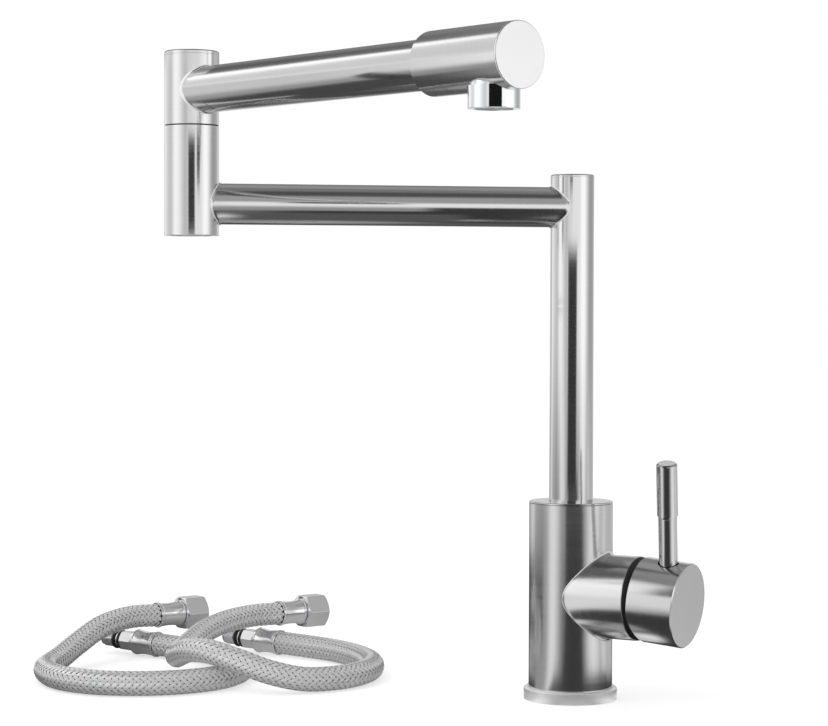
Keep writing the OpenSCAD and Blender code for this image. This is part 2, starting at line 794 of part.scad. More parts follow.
module sleeve_plug() {
    color(steel) at_hinge() bar(hinge_foot_z + 0.3, hinge_foot_z + 0.3 + sleeve_plug_t, hinge_bore_d - 2 * seat);
}

module hinge_washer() {
    color(black) at_hinge() sleeve(washer_z, washer_z + hinge_washer_t, hinge_d - 0.8, hinge_bore_d + 0.4);
}

// Upper arm and what turns with it
module hinge_shaft() {
    color(brass) at_hinge() difference() {
        union() {
            bar(lip_z - free - hinge_nut_t, lip_top_z, stub_d);
            bar(lip_z, lip_top_z + past, journal_d);
            bar(lip_top_z + free, bearing_z + past, waist_d);
            bar(bearing_z, shaft_top_z, shaft_d);
        }
        bar(lip_top_z + 1, shaft_top_z + past, shaft_bore_d);
        for (turn = [0, 90]) translate([0, 0, arm_z]) rotate([0, 90, turn]) {
            bar(-shaft_d, shaft_d, 6);
        }
        translate([0, 0, hinge_grooves_z[0] - groove_w / 2]) {
            sleeve(0, groove_w, journal_d + 2, journal_d - 2 * oring_t);
        }
        for (i = [1, 2]) translate([0, 0, hinge_grooves_z[i] - groove_w / 2]) {
            sleeve(0, groove_w, shaft_d + 2, shaft_d - 2 * oring_t);
        }
    }
}

module hinge_orings() {
    color(black) at_hinge() {
        oring(journal_d, hinge_grooves_z[0]);
        oring(shaft_d, hinge_grooves_z[1]);
        oring(shaft_d, hinge_grooves_z[2]);
    }
}

module hinge_nut() {
    color(steel) at_hinge() difference() {
        hex_bar(lip_z - free - hinge_nut_t, lip_z - free, hinge_nut_af);
        bar(hinge_foot_z, lip_z, stub_d + 2 * seat);
    }
}

module upper_sleeve() {
    color(steel) difference() {
        at_hinge() sleeve(upper_sleeve_z, hinge_top_z - hinge_cap_t, hinge_d, hinge_bore_d);
        on_upper_arm() along_x() bar(0, hinge_d, window_d);
    }
}

module hinge_cap() {
    color(steel) at_hinge() {
        topped_bar(hinge_top_z - hinge_cap_t, hinge_top_z, hinge_d, 1);
        bar(hinge_top_z - hinge_cap_t - 3, hinge_top_z - hinge_cap_t, hinge_bore_d - 2 * seat);
    }
}

module upper_arm() {
    color(steel) difference() {
        on_upper_arm() along_x() sleeve(0, head_from + head_socket, spout_d, spout_d - 2 * spout_wall);
        at_hinge() bar(0, hinge_top_z + past, hinge_d);
    }
}

module spout_head() {
    color(steel) on_upper_arm() difference() {
        along_x() bar(head_from, spout_len - head_cap_t, head_d);
        along_x() bar(head_from - past, head_from + head_socket, spout_d + 2 * seat);
        along_x() bar(head_from, outlet_s + head_bore_d / 2, head_bore_d);
        along_x() bar(spout_len - head_cap_t - 4, spout_len, head_d - 9);
        translate([outlet_s, 0, 0]) {
            bar(-head_d, ring_shoulder_z, aerator_d + 2 * aerator_gap);
            bar(-head_d, ring_shoulder_z + aerator_thread_l + washer_t + 0.3, aerator_thread_d + 2 * seat);
            bar(-head_d, 0, head_bore_d);
        }
    }
}

module head_cap() {
    color(bright) on_upper_arm() along_x() {
        topped_bar(spout_len - head_cap_t, spout_len, head_d, 0.3);
        bar(spout_len - head_cap_t - 3.5, spout_len - head_cap_t, head_d - 9 - 2 * seat);
    }
}

// Aerator, in the frame of the outlet
module at_outlet() {
    on_upper_arm() translate([outlet_s, 0, 0]) children();
}

module aerator_ring() {
    color(bright) at_outlet() difference() {
        union() {
            bar(ring_foot_z, ring_shoulder_z, aerator_d);
            bar(ring_foot_z, ring_shoulder_z + aerator_thread_l, aerator_thread_d);
        }
        bar(ring_foot_z + 1.6, ring_shoulder_z + aerator_thread_l + past, aerator_thread_d - 2.6);
        bar(ring_foot_z - past, ring_foot_z + 2 * past, aerator_thread_d - 4.2);
    }
}

module mesh_holes(from, to, pitch, d, rings) {
    for (i = [-rings:rings], j = [-rings:rings]) if (abs(i + j) <= rings) {
        translate([pitch * (i + j / 2), pitch * j * sqrt(3) / 2, 0]) bar(from, to, d);
    }
}

module aerator_insert() {
    insert_od = aerator_thread_d - 2.8;
    from = ring_foot_z + 1.7;
    color(white_plastic) at_outlet() difference() {
        bar(from, ring_shoulder_z + aerator_thread_l, insert_od);
        bar(from + 1.6, ring_shoulder_z + aerator_thread_l + past, insert_od - 2.4);
        mesh_holes(from - past, from + 2.6, 3, 2.2, 2);
    }
}

module aerator_screens() {
    insert_od = aerator_thread_d - 2.8;
    color(steel) at_outlet() for (level = [2.4, 4.2]) difference() {
        bar(ring_foot_z + 1.7 + level, ring_foot_z + 2.2 + level, insert_od - 2.6);
        mesh_holes(ring_foot_z, ring_shoulder_z, 2.3, 1.5, 3);
    }
}

module aerator_washer() {
    from = ring_shoulder_z + aerator_thread_l;
    color(black) at_outlet() sleeve(from, from + washer_t, aerator_thread_d - 0.2, head_bore_d + 1);
}

// Hoses
module hose_place(shift) {
    translate(hose_at) rotate([0, 0, hose_turn]) translate(shift) children();
}
// Puts +Z along a direction, with its origin at a point
module aimed(p, v) {
    translate(p) rotate([0, 0, atan2(v[1], v[0])]) rotate([0, acos(v[2] / norm(v)), 0]) children();
}
module at_connector_end(rise) {
    p = route(rise);
    aimed(p[0], p[0] - p[1]) children();
}
module at_nut_end(rise) {
    p = route(rise);
    aimed(p[hose_mid], p[hose_mid] - p[hose_mid - 1]) children();
}

module swept_hose(rise) {
    p = route(rise);
    q = swept(p);
    rings = [for (i = [0:len(q) - 1]) let (
        t = heading(p, q, i),
        side = unit(cross(t, [0, 0, 1])),
        up = cross(side, t)
    ) [for (k = [0:hose_sides - 1]) q[i] + hose_d / 2 * (side * cos(360 * k / hose_sides)
        + up * sin(360 * k / hose_sides))]];
    last = len(q) - 1;
    n = hose_sides;
    polyhedron(
        points = [for (ring = rings) for (p = ring) p],
        faces = concat(
            [[for (k = [0:n - 1]) k]],
            [[for (k = [0:n - 1]) last * n + n - 1 - k]],
            [for (i = [0:last - 1], k = [0:n - 1]) [i * n + k, (i + 1) * n + k, i * n + (k + 1) % n]],
            [for (i = [0:last - 1], k = [0:n - 1])
                [i * n + (k + 1) % n, (i + 1) * n + k, (i + 1) * n + (k + 1) % n]]
        )
    );
}

module ferrules(rise) {
    color(bright) {
        at_connector_end(rise) sleeve(0, ferrule_l, ferrule_d, hose_bore_d + 2 * seat);
        at_nut_end(rise) sleeve(0, ferrule_l, ferrule_d, hose_bore_d + 2 * seat);
    }
}

module connector(rise) {
    groove_from = ferrule_l + 1.5 + connector_hex_l;
    tip = ferrule_l + connector_l;
    color(bright) at_connector_end(rise) difference() {
        union() {
            bar(2, ferrule_l, hose_bore_d);
            bar(ferrule_l, ferrule_l + 1.5, connector_af + 2.5);
            hex_bar(ferrule_l + 1.5, groove_from, connector_af);
            bar(groove_from, tip, connector_thread_d - 1.8);
            bar(groove_from + 2.6, groove_from + 3.4, connector_thread_d);
            topped_bar(tip - connector_thread_l, tip, connector_thread_d, 0.6);
        }
        bar(0, tip + past, 5);
    }
}

module connector_orings(rise) {
    groove_from = ferrule_l + 1.5 + connector_hex_l;
    color(black) at_connector_end(rise) for (offset = [1.4, 5.2]) {
        oring(connector_thread_d - 1.8 + 2 * oring_t, groove_from + offset);
    }
}

module tail(rise) {
    color(bright) at_nut_end(rise) difference() {
        union() {
            bar(2, tail_flange_s, hose_bore_d);
            bar(tail_flange_s, nut_washer_s, union_thread_d - 1.2);
        }
        bar(0, union_end, hose_bore_d - 2.5);
    }
}

module union_nut(rise) {
    color(bright) at_nut_end(rise) rotate([0, 0, 30]) difference() {
        hex_bar(ferrule_l + free, union_end, union_af);
        bar(ferrule_l, union_end, hose_bore_d + 4 * run);
        bar(nut_floor_s, nut_relief_s, union_thread_d + 2 * free);
        bar(nut_floor_s, union_end + past, union_thread_d);
    }
}

module nut_washer(rise) {
    color(black) at_nut_end(rise) {
        sleeve(nut_washer_s, nut_washer_s + nut_washer_t, union_thread_d - 0.8, hose_bore_d);
    }
}

module hose_a_tube() { color(braid) hose_place([0, 0, 0]) swept_hose(hose_a_rise); }
module hose_a_ferrules() { hose_place([0, 0, 0]) ferrules(hose_a_rise); }
module hose_a_connector() { hose_place([0, 0, 0]) connector(hose_a_rise); }
module hose_a_orings() { hose_place([0, 0, 0]) connector_orings(hose_a_rise); }
module hose_a_tail() { hose_place([0, 0, 0]) tail(hose_a_rise); }
module hose_a_nut() { hose_place([0, 0, 0]) union_nut(hose_a_rise); }
module hose_a_washer() { hose_place([0, 0, 0]) nut_washer(hose_a_rise); }
module hose_b_tube() { color(braid) hose_place(hose_b_shift) swept_hose(hose_b_rise); }
module hose_b_ferrules() { hose_place(hose_b_shift) ferrules(hose_b_rise); }
module hose_b_connector() { hose_place(hose_b_shift) connector(hose_b_rise); }
module hose_b_orings() { hose_place(hose_b_shift) connector_orings(hose_b_rise); }
module hose_b_tail() { hose_place(hose_b_shift) tail(hose_b_rise); }
module hose_b_nut() { hose_place(hose_b_shift) union_nut(hose_b_rise); }
module hose_b_washer() { hose_place(hose_b_shift) nut_washer(hose_b_rise); }

base_ring();
base_gasket();
column_tube();
branch_tube();
base_plug();
feed_tubes();
valve_block();
top_collar();
riser_bush();
swivel_screw();
cartridge_base();
port_seals();
fixed_disc();
cartridge_shell();
cartridge_nut();
cover_ring();
cartridge_rotor();
pivot_pin();
moving_disc();
disc_carrier();
cartridge_spindle();
handle_cap();
lever_rod();
handle_screw();
riser_tube();
riser_spigot();
riser_orings();
riser_cap();
lower_arm();
lower_sleeve();
sleeve_plug();
hinge_washer();
hinge_shaft();
hinge_orings();
hinge_nut();
upper_sleeve();
hinge_cap();
upper_arm();
spout_head();
head_cap();
aerator_ring();
aerator_insert();
aerator_screens();
aerator_washer();
hose_a_tube();
hose_a_ferrules();
hose_a_connector();
hose_a_orings();
hose_a_tail();
hose_a_nut();
hose_a_washer();
hose_b_tube();
hose_b_ferrules();
hose_b_connector();
hose_b_orings();
hose_b_tail();
hose_b_nut();
hose_b_washer();
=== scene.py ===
"""Kitchen mixer faucet in brushed stainless steel with its pair of braided supply hoses, in a white studio.

Sizes are in millimetres and are turned into metres when a piece is placed.
"""

import json
import logging
import math
import sys
from dataclasses import dataclass
from enum import Enum
from typing import Any, Optional, Sequence, Union

import bmesh
import bpy
from mathutils import Matrix, Vector

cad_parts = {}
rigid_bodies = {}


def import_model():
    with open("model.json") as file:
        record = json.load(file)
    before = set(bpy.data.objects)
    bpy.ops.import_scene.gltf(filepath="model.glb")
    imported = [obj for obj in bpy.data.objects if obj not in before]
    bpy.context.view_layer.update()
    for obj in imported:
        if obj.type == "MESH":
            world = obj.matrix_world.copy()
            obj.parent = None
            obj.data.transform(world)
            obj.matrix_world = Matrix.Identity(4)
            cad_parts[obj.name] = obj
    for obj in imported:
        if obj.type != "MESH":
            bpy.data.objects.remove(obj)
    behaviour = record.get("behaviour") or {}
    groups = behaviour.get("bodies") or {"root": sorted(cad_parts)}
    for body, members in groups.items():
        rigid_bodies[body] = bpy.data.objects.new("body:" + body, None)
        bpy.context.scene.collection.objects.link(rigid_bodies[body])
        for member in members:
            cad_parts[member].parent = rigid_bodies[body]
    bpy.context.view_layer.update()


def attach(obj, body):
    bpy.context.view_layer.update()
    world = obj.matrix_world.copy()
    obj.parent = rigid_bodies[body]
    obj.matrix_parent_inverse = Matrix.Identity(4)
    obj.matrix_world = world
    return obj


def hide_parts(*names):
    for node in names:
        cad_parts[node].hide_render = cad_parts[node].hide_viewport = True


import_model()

log = logging.getLogger("faucet")

MM = 0.001
# Faces round a turned piece
STEPS = 144
# Points of a mesh that lie closer than this become one, in millimetres
MERGE = 1e-4
# How far a welded tube reaches into the one that it stands on, in millimetres
BITE = 0.05
# Edges that turn by more than this angle are rounded
SHARP = math.radians(32)
# Width of a nut's 30-degree chamfer for each millimetre of its height
CONE_SLOPE = 1.75

# A point or a stretch along X, Y and Z
Triple = tuple[float, float, float]
# Red, green and blue
Colour = tuple[float, float, float]
# Radius and height of each corner of a turned piece
Profile = Sequence[tuple[float, float]]
# Place or bearing of each stop of a ramp, and its value there
Stops = Sequence[tuple[float, float]]


# Frames


def turned_by(axis: str, degrees: float) -> Matrix:
    """Return a rotation about a main axis, in degrees."""
    return Matrix.Rotation(math.radians(degrees), 4, axis)


def moved(x: float = 0.0, y: float = 0.0, z: float = 0.0) -> Matrix:
    """Return a translation."""
    return Matrix.Translation((x, y, z))


def aimed(point: Vector, direction: Vector) -> Matrix:
    """Return the frame at a point whose +Z looks along a direction.

    Args:
        point: Origin of the frame.
        direction: Where its +Z axis looks.

    Returns:
        The frame as a matrix.
    """
    level = math.degrees(math.atan2(direction.y, direction.x))
    tilt = math.degrees(math.acos(direction.z / direction.length))
    return Matrix.Translation(point) @ turned_by("Z", level) @ turned_by("Y", tilt)


ALONG_X = turned_by("Y", 90)
UPRIGHT = Matrix.Identity(4)


# Shader maths


class Wire:
    """One value in a node tree, with which Python expressions can be written."""

    def __init__(self, graph: "Graph", socket: bpy.types.NodeSocket) -> None:
        """Keep the graph and the socket that the value comes out of."""
        self.graph = graph
        self.socket = socket

    def math(self, operation: str, *others: "Value") -> "Wire":
        """Return a Math node's result with this value as its first input."""
        return self.graph.math(operation, self, *others)

    def __add__(self, other: "Value") -> "Wire":
        """Return self + other."""
        return self.math("ADD", other)

    def __radd__(self, other: "Value") -> "Wire":
        """Return other + self."""
        return self.graph.math("ADD", other, self)

    def __sub__(self, other: "Value") -> "Wire":
        """Return self - other."""
        return self.math("SUBTRACT", other)

    def __rsub__(self, other: "Value") -> "Wire":
        """Return other - self."""
        return self.graph.math("SUBTRACT", other, self)

    def __mul__(self, other: "Value") -> "Wire":
        """Return self * other."""
        return self.math("MULTIPLY", other)

    def __rmul__(self, other: "Value") -> "Wire":
        """Return other * self."""
        return self.graph.math("MULTIPLY", other, self)

    def __truediv__(self, other: "Value") -> "Wire":
        """Return self / other."""
        return self.math("DIVIDE", other)

    def __pow__(self, other: "Value") -> "Wire":
        """Return self to the power of other."""
        return self.math("POWER", other)

    def ramped(self, low: float, high: float) -> "Wire":
        """Turn the value into a smooth step.

        Args:
            low: Value below which the step is 0.
            high: Value above which it is 1.

        Returns:
            The step.
        """
        settings = {"interpolation_type": "SMOOTHSTEP"}
        values = {"Value": self, "From Min": low, "From Max": high, "To Min": 0.0, "To Max": 1.0}
        return self.graph.node("ShaderNodeMapRange", settings, values)

    def within(self, rising: tuple[float, float], falling: tuple[float, float]) -> "Wire":
        """Return 1 between two smooth steps, one that rises and one that falls, and 0 outside them."""
        return self.ramped(*rising) * (1 - self.ramped(*falling))


Value = Union[Wire, float]


class Graph:
    """A node tree that is being written."""

    def __init__(self, owner: Union[bpy.types.Material, bpy.types.World]) -> None:
        """Start an empty tree.

        Args:
            owner: The material or the world that gets the tree.
        """
        owner.use_nodes = True
        self.tree = owner.node_tree
        self.tree.nodes.clear()
        of_world = isinstance(owner, bpy.types.World)
        self.output_kind = "ShaderNodeOutputWorld" if of_world else "ShaderNodeOutputMaterial"

    def node(
        self,
        kind: str,
        settings: Optional[dict[str, Any]] = None,
        values: Optional[dict[Union[str, int], Any]] = None,
        output: Union[str, int] = 0,
    ) -> Wire:
        """Add a node.

        Args:
            kind: Blender's name of the node type.
            settings: Properties of the node, set before its inputs; stops are those of its colour ramp.
            values: What each input socket gets: a Wire is linked and anything else is set on it.
            output: The socket that the result is taken from.

        Returns:
            The chosen output.
        """
        made = self.tree.nodes.new(kind)
        for name, value in (settings or {}).items():
            if name == "stops":
                self._set_stops(made.color_ramp, value)
            else:
                setattr(made, name, value)
        for key, value in (values or {}).items():
            if isinstance(value, Wire):
                self.tree.links.new(value.socket, made.inputs[key])
            else:
                made.inputs[key].default_value = value
        return Wire(self, made.outputs[output])

    @staticmethod
    def _set_stops(ramp: bpy.types.ColorRamp, stops: Stops) -> None:
        """Give a colour ramp its stops.

        Args:
            ramp: The ramp.
            stops: Place and grey value of each stop, in order.
        """
        while len(ramp.elements) > 1:
            ramp.elements.remove(ramp.elements[-1])
        for index, (place, grey) in enumerate(stops):
            stop = ramp.elements[0] if index == 0 else ramp.elements.new(place)
            stop.position = place
            stop.color = (grey, grey, grey, 1.0)

    def math(self, operation: str, *values: Value) -> Wire:
        """Add a Math node."""
        return self.node("ShaderNodeMath", {"operation": operation}, dict(enumerate(values)))

    def split(self, vector: Wire) -> tuple[Wire, Wire, Wire]:
        """Return a vector's X, Y and Z."""
        parts = [self.node("ShaderNodeSeparateXYZ", None, {0: vector}, axis) for axis in "XYZ"]
        return parts[0], parts[1], parts[2]

    def joined(self, x: Value, y: Value, z: Value) -> Wire:
        """Return a vector made of three values."""
        return self.node("ShaderNodeCombineXYZ", None, {0: x, 1: y, 2: z})

    def on_axis(self, axis: Matrix) -> Wire:
        """Look at object coordinates from a piece's own frame.

        Args:
            axis: The frame, in millimetres, whose Z is the axis that the piece is turned on.

        Returns:
            The coordinates in that frame, in metres.
        """
        inverse = axis.inverted()
        here = self.node("ShaderNodeTexCoord", None, None, "Object")
        values = {
            "Vector": here,
            "Location": inverse.to_translation() * MM,
            "Rotation": inverse.to_euler(),
        }
        return self.node("ShaderNodeMapping", {"vector_type": "POINT"}, values)

    def noise(self, vector: Wire, stretch: Triple, detail: float = 2.0) -> Wire:
        """Return noise around 0.5 that is stretched differently along each axis, in cells for each metre."""
        scaled = self.node("ShaderNodeVectorMath", {"operation": "MULTIPLY"}, {0: vector, 1: stretch})
        return self.node("ShaderNodeTexNoise", None, {"Vector": scaled, "Scale": 1.0, "Detail": detail}, 0)

    def bump(self, height: Wire, depth: float) -> Wire:
        """Return a normal from a height, with the depth in metres that a height of 1 stands for."""
        return self.node("ShaderNodeBump", None, {"Height": height, "Distance": depth, "Strength": 1.0})

    def grey(self, value: Value, tint: Colour) -> Wire:
        """Return a tint made lighter or darker by a value around 1."""
        lit = self.joined(value, value, value)
        return self.node("ShaderNodeVectorMath", {"operation": "MULTIPLY"}, {0: lit, 1: tint})

    def surface(self, shader: Wire) -> None:
        """Connect a shader to the tree's output."""
        self.tree.links.new(shader.socket, self.tree.nodes.new(self.output_kind).inputs["Surface"])


# Finishes


class Slot(Enum):
    """The record's material slots."""

    BRUSHED = "brushed_steel"
    RING = "satin_ring"
    CHROME = "polished_chrome"
    PLATED = "plated_brass"
    BRASS = "raw_brass"
    FASTENER = "steel_fastener"
    RUBBER = "black_rubber"
    BLACK = "black_plastic"
    WHITE = "white_plastic"
    GREY = "grey_plastic"
    CERAMIC = "ceramic"
    BRAID = "steel_braid"


@dataclass(frozen=True)
class Finish:
    """A finish for one of the record's material slots."""

    slot: Slot

    def material(self, axis: Matrix) -> bpy.types.Material:
        """Build the finish for a piece.

        Args:
            axis: The frame, in millimetres, whose Z is the piece's own axis.

        Returns:
            The material.
        """
        made = bpy.data.materials.new(self.slot.value)
        graph = Graph(made)
        graph.surface(graph.node("ShaderNodeBsdfPrincipled", None, self.values(graph, axis)))
        return made

    def values(self, graph: Graph, axis: Matrix) -> dict[str, Any]:
        """Work out what the shader's sockets get.

        Args:
            graph: The material's graph.
            axis: The frame, in millimetres, whose Z is the piece's own axis.

        Returns:
            A number or a Wire for each socket that isn't left as it is.
        """
        raise NotImplementedError


@dataclass(frozen=True)
class Turned(Finish):
    """A metal with fine tool or brush lines round the axis that it was turned on."""

    tint: Colour = (0.68, 0.68, 0.68)
    roughness: float = 0.22
    line_pitch: float = 0.16
    line_depth: float = 0.0008
    contrast: float = 0.05
    metallic: float = 1.0
    lines_in_band: int = 7
    cloud_cells: Triple = (28, 28, 16)

    def values(self, graph: Graph, axis: Matrix) -> dict[str, Any]:
        """Lay fine lines, broader bands of them and faint clouds over each other.

        Args:
            graph: The material's graph.
            axis: The frame that the lines run round.

        Returns:
            What the shader's sockets get.
        """
        here = graph.on_axis(axis)
        lines = 1 / (self.line_pitch * MM)
        fine = graph.noise(here, (70, 70, lines), 3.0)
        band = graph.noise(here, (24, 24, lines / self.lines_in_band), 2.0)
        cloud = graph.noise(here, self.cloud_cells, 2.0)
        light = 1 + self.contrast * (fine - 0.5) + self.contrast * 0.8 * (band - 0.5) + 0.05 * (cloud - 0.5)
        rough = 1 + 0.45 * (band - 0.5) + 0.35 * (fine - 0.5) + 0.3 * (cloud - 0.5)
        return {
            "Base Color": graph.grey(light, self.tint),
            "Metallic": self.metallic,
            "Roughness": self.roughness * rough,
            "Normal": graph.bump(fine + 0.6 * band, self.line_depth * MM),
        }


@dataclass(frozen=True)
class Ground(Finish):
    """A flat metal face that was ground in one direction, in straight fine lines."""

    tint: Colour = (0.8, 0.8, 0.8)
    roughness: float = 0.34
    line_pitch: float = 0.13
    metallic: float = 1.0
    line_depth: float = 0.0008
    cloud_cells: Triple = (40, 90, 40)

    def values(self, graph: Graph, axis: Matrix) -> dict[str, Any]:
        """Lay straight lines and faint clouds over each other.

        Args:
            graph: The material's graph.
            axis: The frame whose X the lines run along.

        Returns:
            What the shader's sockets get.
        """
        here = graph.on_axis(axis)
        fine = graph.noise(here, (60, 1 / (self.line_pitch * MM), 60), 3.0)
        cloud = graph.noise(here, self.cloud_cells, 2.0)
        return {
            "Base Color": graph.grey(0.96 + 0.07 * fine + 0.05 * (cloud - 0.5), self.tint),
            "Metallic": self.metallic,
            "Roughness": self.roughness * (0.85 + 0.3 * fine),
            "Normal": graph.bump(fine, self.line_depth * MM),
        }


@dataclass(frozen=True)
class Moulded(Finish):
    """A rubber, plastic or ceramic with a fine grain and slightly uneven gloss."""

    tint: Colour
    roughness: float
    grain: float = 0.35
    grain_depth: float = 0.01
    cloud_cells: Triple = (110, 110, 110)

    def values(self, graph: Graph, axis: Matrix) -> dict[str, Any]:
        """Lay a fine grain and faint clouds over each other.

        Args:
            graph: The material's graph.
            axis: The piece's own frame.

        Returns:
            What the shader's sockets get.
        """
        here = graph.on_axis(axis)
        cells = 1 / (self.grain * MM)
        grain = graph.noise(here, (cells, cells, cells), 2.0)
        cloud = graph.noise(here, self.cloud_cells, 3.0)
        return {
            "Base Color": graph.grey(0.93 + 0.1 * cloud + 0.04 * grain, self.tint),
            "Roughness": self.roughness * (0.85 + 0.2 * cloud + 0.1 * grain),
            "Normal": graph.bump(grain, self.grain_depth * MM),
        }


@dataclass(frozen=True)
class Braided(Finish):
    """Flat bundles of parallel stainless wires, on ribbons whose own map runs across and along them."""

    tint: Colour = (0.95, 0.95, 0.96)
    roughness: float = 0.24
    metallic: float = 0.6
    wires: int = 4
    wire_depth: float = 0.12
    cells_along: float = 0.35

    def values(self, graph: Graph, axis: Matrix) -> dict[str, Any]:
        """Make round wires side by side, each a little lighter or darker than the next, and darker towards
        their edges as painted shade between them.

        Args:
            graph: The material's graph.
            axis: Not needed, because the pattern follows the ribbons' own map.

        Returns:
            What the shader's sockets get.
        """
        across, along, _ = graph.split(graph.node("ShaderNodeTexCoord", None, None, "UV"))
        crown = (across * (self.wires * math.pi)).math("SINE").math("ABSOLUTE")
        cells = graph.joined(across * self.wires, along * self.cells_along, 0.0)
        uneven = graph.noise(cells, (1, 1, 1), 1.0)
        return {
            # Base colour is darker towards each wire's edges, where the wires meet: painted shade between the
            # wires. The crown in the normal is their real roundness.
            "Base Color": graph.grey((0.4 + 0.75 * crown ** 0.5) * (0.85 + 0.3 * uneven), self.tint),
            "Metallic": self.metallic,
            "Roughness": self.roughness + 0.1 * (uneven - 0.5),
            "Normal": graph.bump(crown, self.wire_depth * MM),
        }


TUBE_STEEL = Turned(Slot.BRUSHED, roughness=0.14)
BODY_STEEL = Turned(Slot.BRUSHED, (0.69, 0.69, 0.69), 0.18, 0.2, 0.0008, 0.05)
END_STEEL = Ground(Slot.BRUSHED, (0.86, 0.86, 0.86), 0.36)
# Weld beads: the rough ground grain is their own, and the pale tint is a painted highlight along the welds.
WELD_HIGHLIGHT_STEEL = Ground(Slot.BRUSHED, (0.95, 0.95, 0.95), 0.5, 0.2, 0.3)
CAP_STEEL = Ground(Slot.BRUSHED, (0.64, 0.64, 0.64), 0.3)
LEVER_STEEL = Ground(Slot.BRUSHED, (0.88, 0.88, 0.88), 0.45, 0.13, 0.5)
RING_STEEL = Turned(Slot.RING, (0.92, 0.92, 0.92), 0.3, 0.3, 0.002, 0.06, 0.6)
CHROME = Turned(Slot.CHROME, (0.86, 0.87, 0.88), 0.06, 0.4, 0.0003, 0.02)
PLATED = Turned(Slot.PLATED, (0.92, 0.92, 0.93), 0.12, 0.25, 0.0006, 0.04, 0.9)
BRASS = Turned(Slot.BRASS, (0.78, 0.6, 0.31), 0.26, 0.25, 0.002, 0.12)
FASTENER = Turned(Slot.FASTENER, (0.56, 0.56, 0.57), 0.3, 0.2, 0.0015, 0.1)
RUBBER = Moulded(Slot.RUBBER, (0.016, 0.016, 0.017), 0.42, 0.3, 0.004)
BLACK_PLASTIC = Moulded(Slot.BLACK, (0.02, 0.02, 0.021), 0.5)
WHITE_PLASTIC = Moulded(Slot.WHITE, (0.8, 0.8, 0.78), 0.42)
GREY_PLASTIC = Moulded(Slot.GREY, (0.32, 0.33, 0.35), 0.46)
CERAMIC = Moulded(Slot.CERAMIC, (0.84, 0.81, 0.76), 0.16, 0.5, 0.001)
HOSE_CORE = Moulded(Slot.BRAID, (0.05, 0.05, 0.052), 0.5, 0.5, 0.02)
BRAID = Braided(Slot.BRAID)


# Mesh making


def turned(profile: Profile, steps: int = STEPS) -> bmesh.types.BMesh:
    """Turn a profile about Z, as on a lathe.

    Args:
        profile: Radius and height of each corner, in order. A profile that starts on the axis ends there
            too and makes a solid piece; the last corner of any other joins its first.
        steps: Faces round the piece.

    Returns:
        The closed mesh.
    """
    shape = bmesh.new()
    corners = [shape.verts.new((radius, 0.0, height)) for radius, height in profile]
    pairs = list(zip(corners, corners[1:]))
    if profile[0][0] > 0:
        pairs.append((corners[-1], corners[0]))
    edges = [shape.edges.new(pair) for pair in pairs]
    bmesh.ops.spin(
        shape,
        geom=corners + edges,
        cent=(0, 0, 0),
        axis=(0, 0, 1),
        angle=2 * math.pi,
        steps=steps,
        use_merge=True,
    )
    bmesh.ops.remove_doubles(shape, verts=shape.verts, dist=MERGE)
    bmesh.ops.recalc_face_normals(shape, faces=shape.faces)
    return shape


def rod(start: float, end: float, diameter: float, steps: int = STEPS) -> bmesh.types.BMesh:
    """Return a plain bar along Z, used as a cutter."""
    radius = diameter / 2
    return turned([(0, start), (radius, start), (radius, end), (0, end)], steps)


def lid(
    foot: float, seat: float, top: float, plug_d: float, diameter: float, chamfer: float
) -> bmesh.types.BMesh:
    """Return a flat lid along Z with a plug that goes into the tube's end below it.

    Args:
        foot: Height of the plug's lower face.
        seat: Height at which the lid lies on the tube.
        top: Height of the lid's face.
        plug_d: Diameter of the plug.
        diameter: Diameter of the lid.
        chamfer: Chamfer round its face.

    Returns:
        The mesh.
    """
    plug, r = plug_d / 2, diameter / 2
    return turned([
        (0, foot), (plug, foot), (plug, seat), (r, seat), (r, top - chamfer), (r - chamfer, top), (0, top),
    ])


def laid(shape: bmesh.types.BMesh, place: Matrix) -> bmesh.types.BMesh:
    """Put a mesh at a place and return it."""
    bmesh.ops.transform(shape, matrix=place, verts=shape.verts)
    return shape


def joined_shapes(*shapes: bmesh.types.BMesh) -> bmesh.types.BMesh:
    """Gather several meshes in one.

    Args:
        shapes: The meshes; they are used up.

    Returns:
        The whole.
    """
    whole = bmesh.new()
    for shape in shapes:
        mesh = bpy.data.meshes.new("part")
        shape.to_mesh(mesh)
        shape.free()
        whole.from_mesh(mesh)
        bpy.data.meshes.remove(mesh)
    return whole


def carved(
    shape: bmesh.types.BMesh, cutter: bmesh.types.BMesh, operation: str = "DIFFERENCE"
) -> bmesh.types.BMesh:
    """Cut one mesh with another.

    Args:
        shape: The mesh that is cut; it is used up.
        cutter: The mesh that cuts; it is used up.
        operation: Blender's name of the Boolean operation.

    Returns:
        The result.
    """
    holders = []
    for source in (shape, cutter):
        mesh = bpy.data.meshes.new("work")
        source.to_mesh(mesh)
        source.free()
        holder = bpy.data.objects.new("work", mesh)
        bpy.context.scene.collection.objects.link(holder)
        holders.append(holder)
    cut = holders[0].modifiers.new("cut", "BOOLEAN")
    cut.operation = operation
    cut.object = holders[1]
    cut.solver = "EXACT"
    seen = holders[0].evaluated_get(bpy.context.evaluated_depsgraph_get())
    result = bmesh.new()
    result.from_mesh(seen.to_mesh())
    seen.to_mesh_clear()
    for holder in holders:
        mesh = holder.data
        bpy.data.objects.remove(holder)
        bpy.data.meshes.remove(mesh)
    bmesh.ops.remove_doubles(result, verts=result.verts, dist=MERGE)
    bmesh.ops.dissolve_degenerate(result, edges=result.edges, dist=MERGE)
    return result


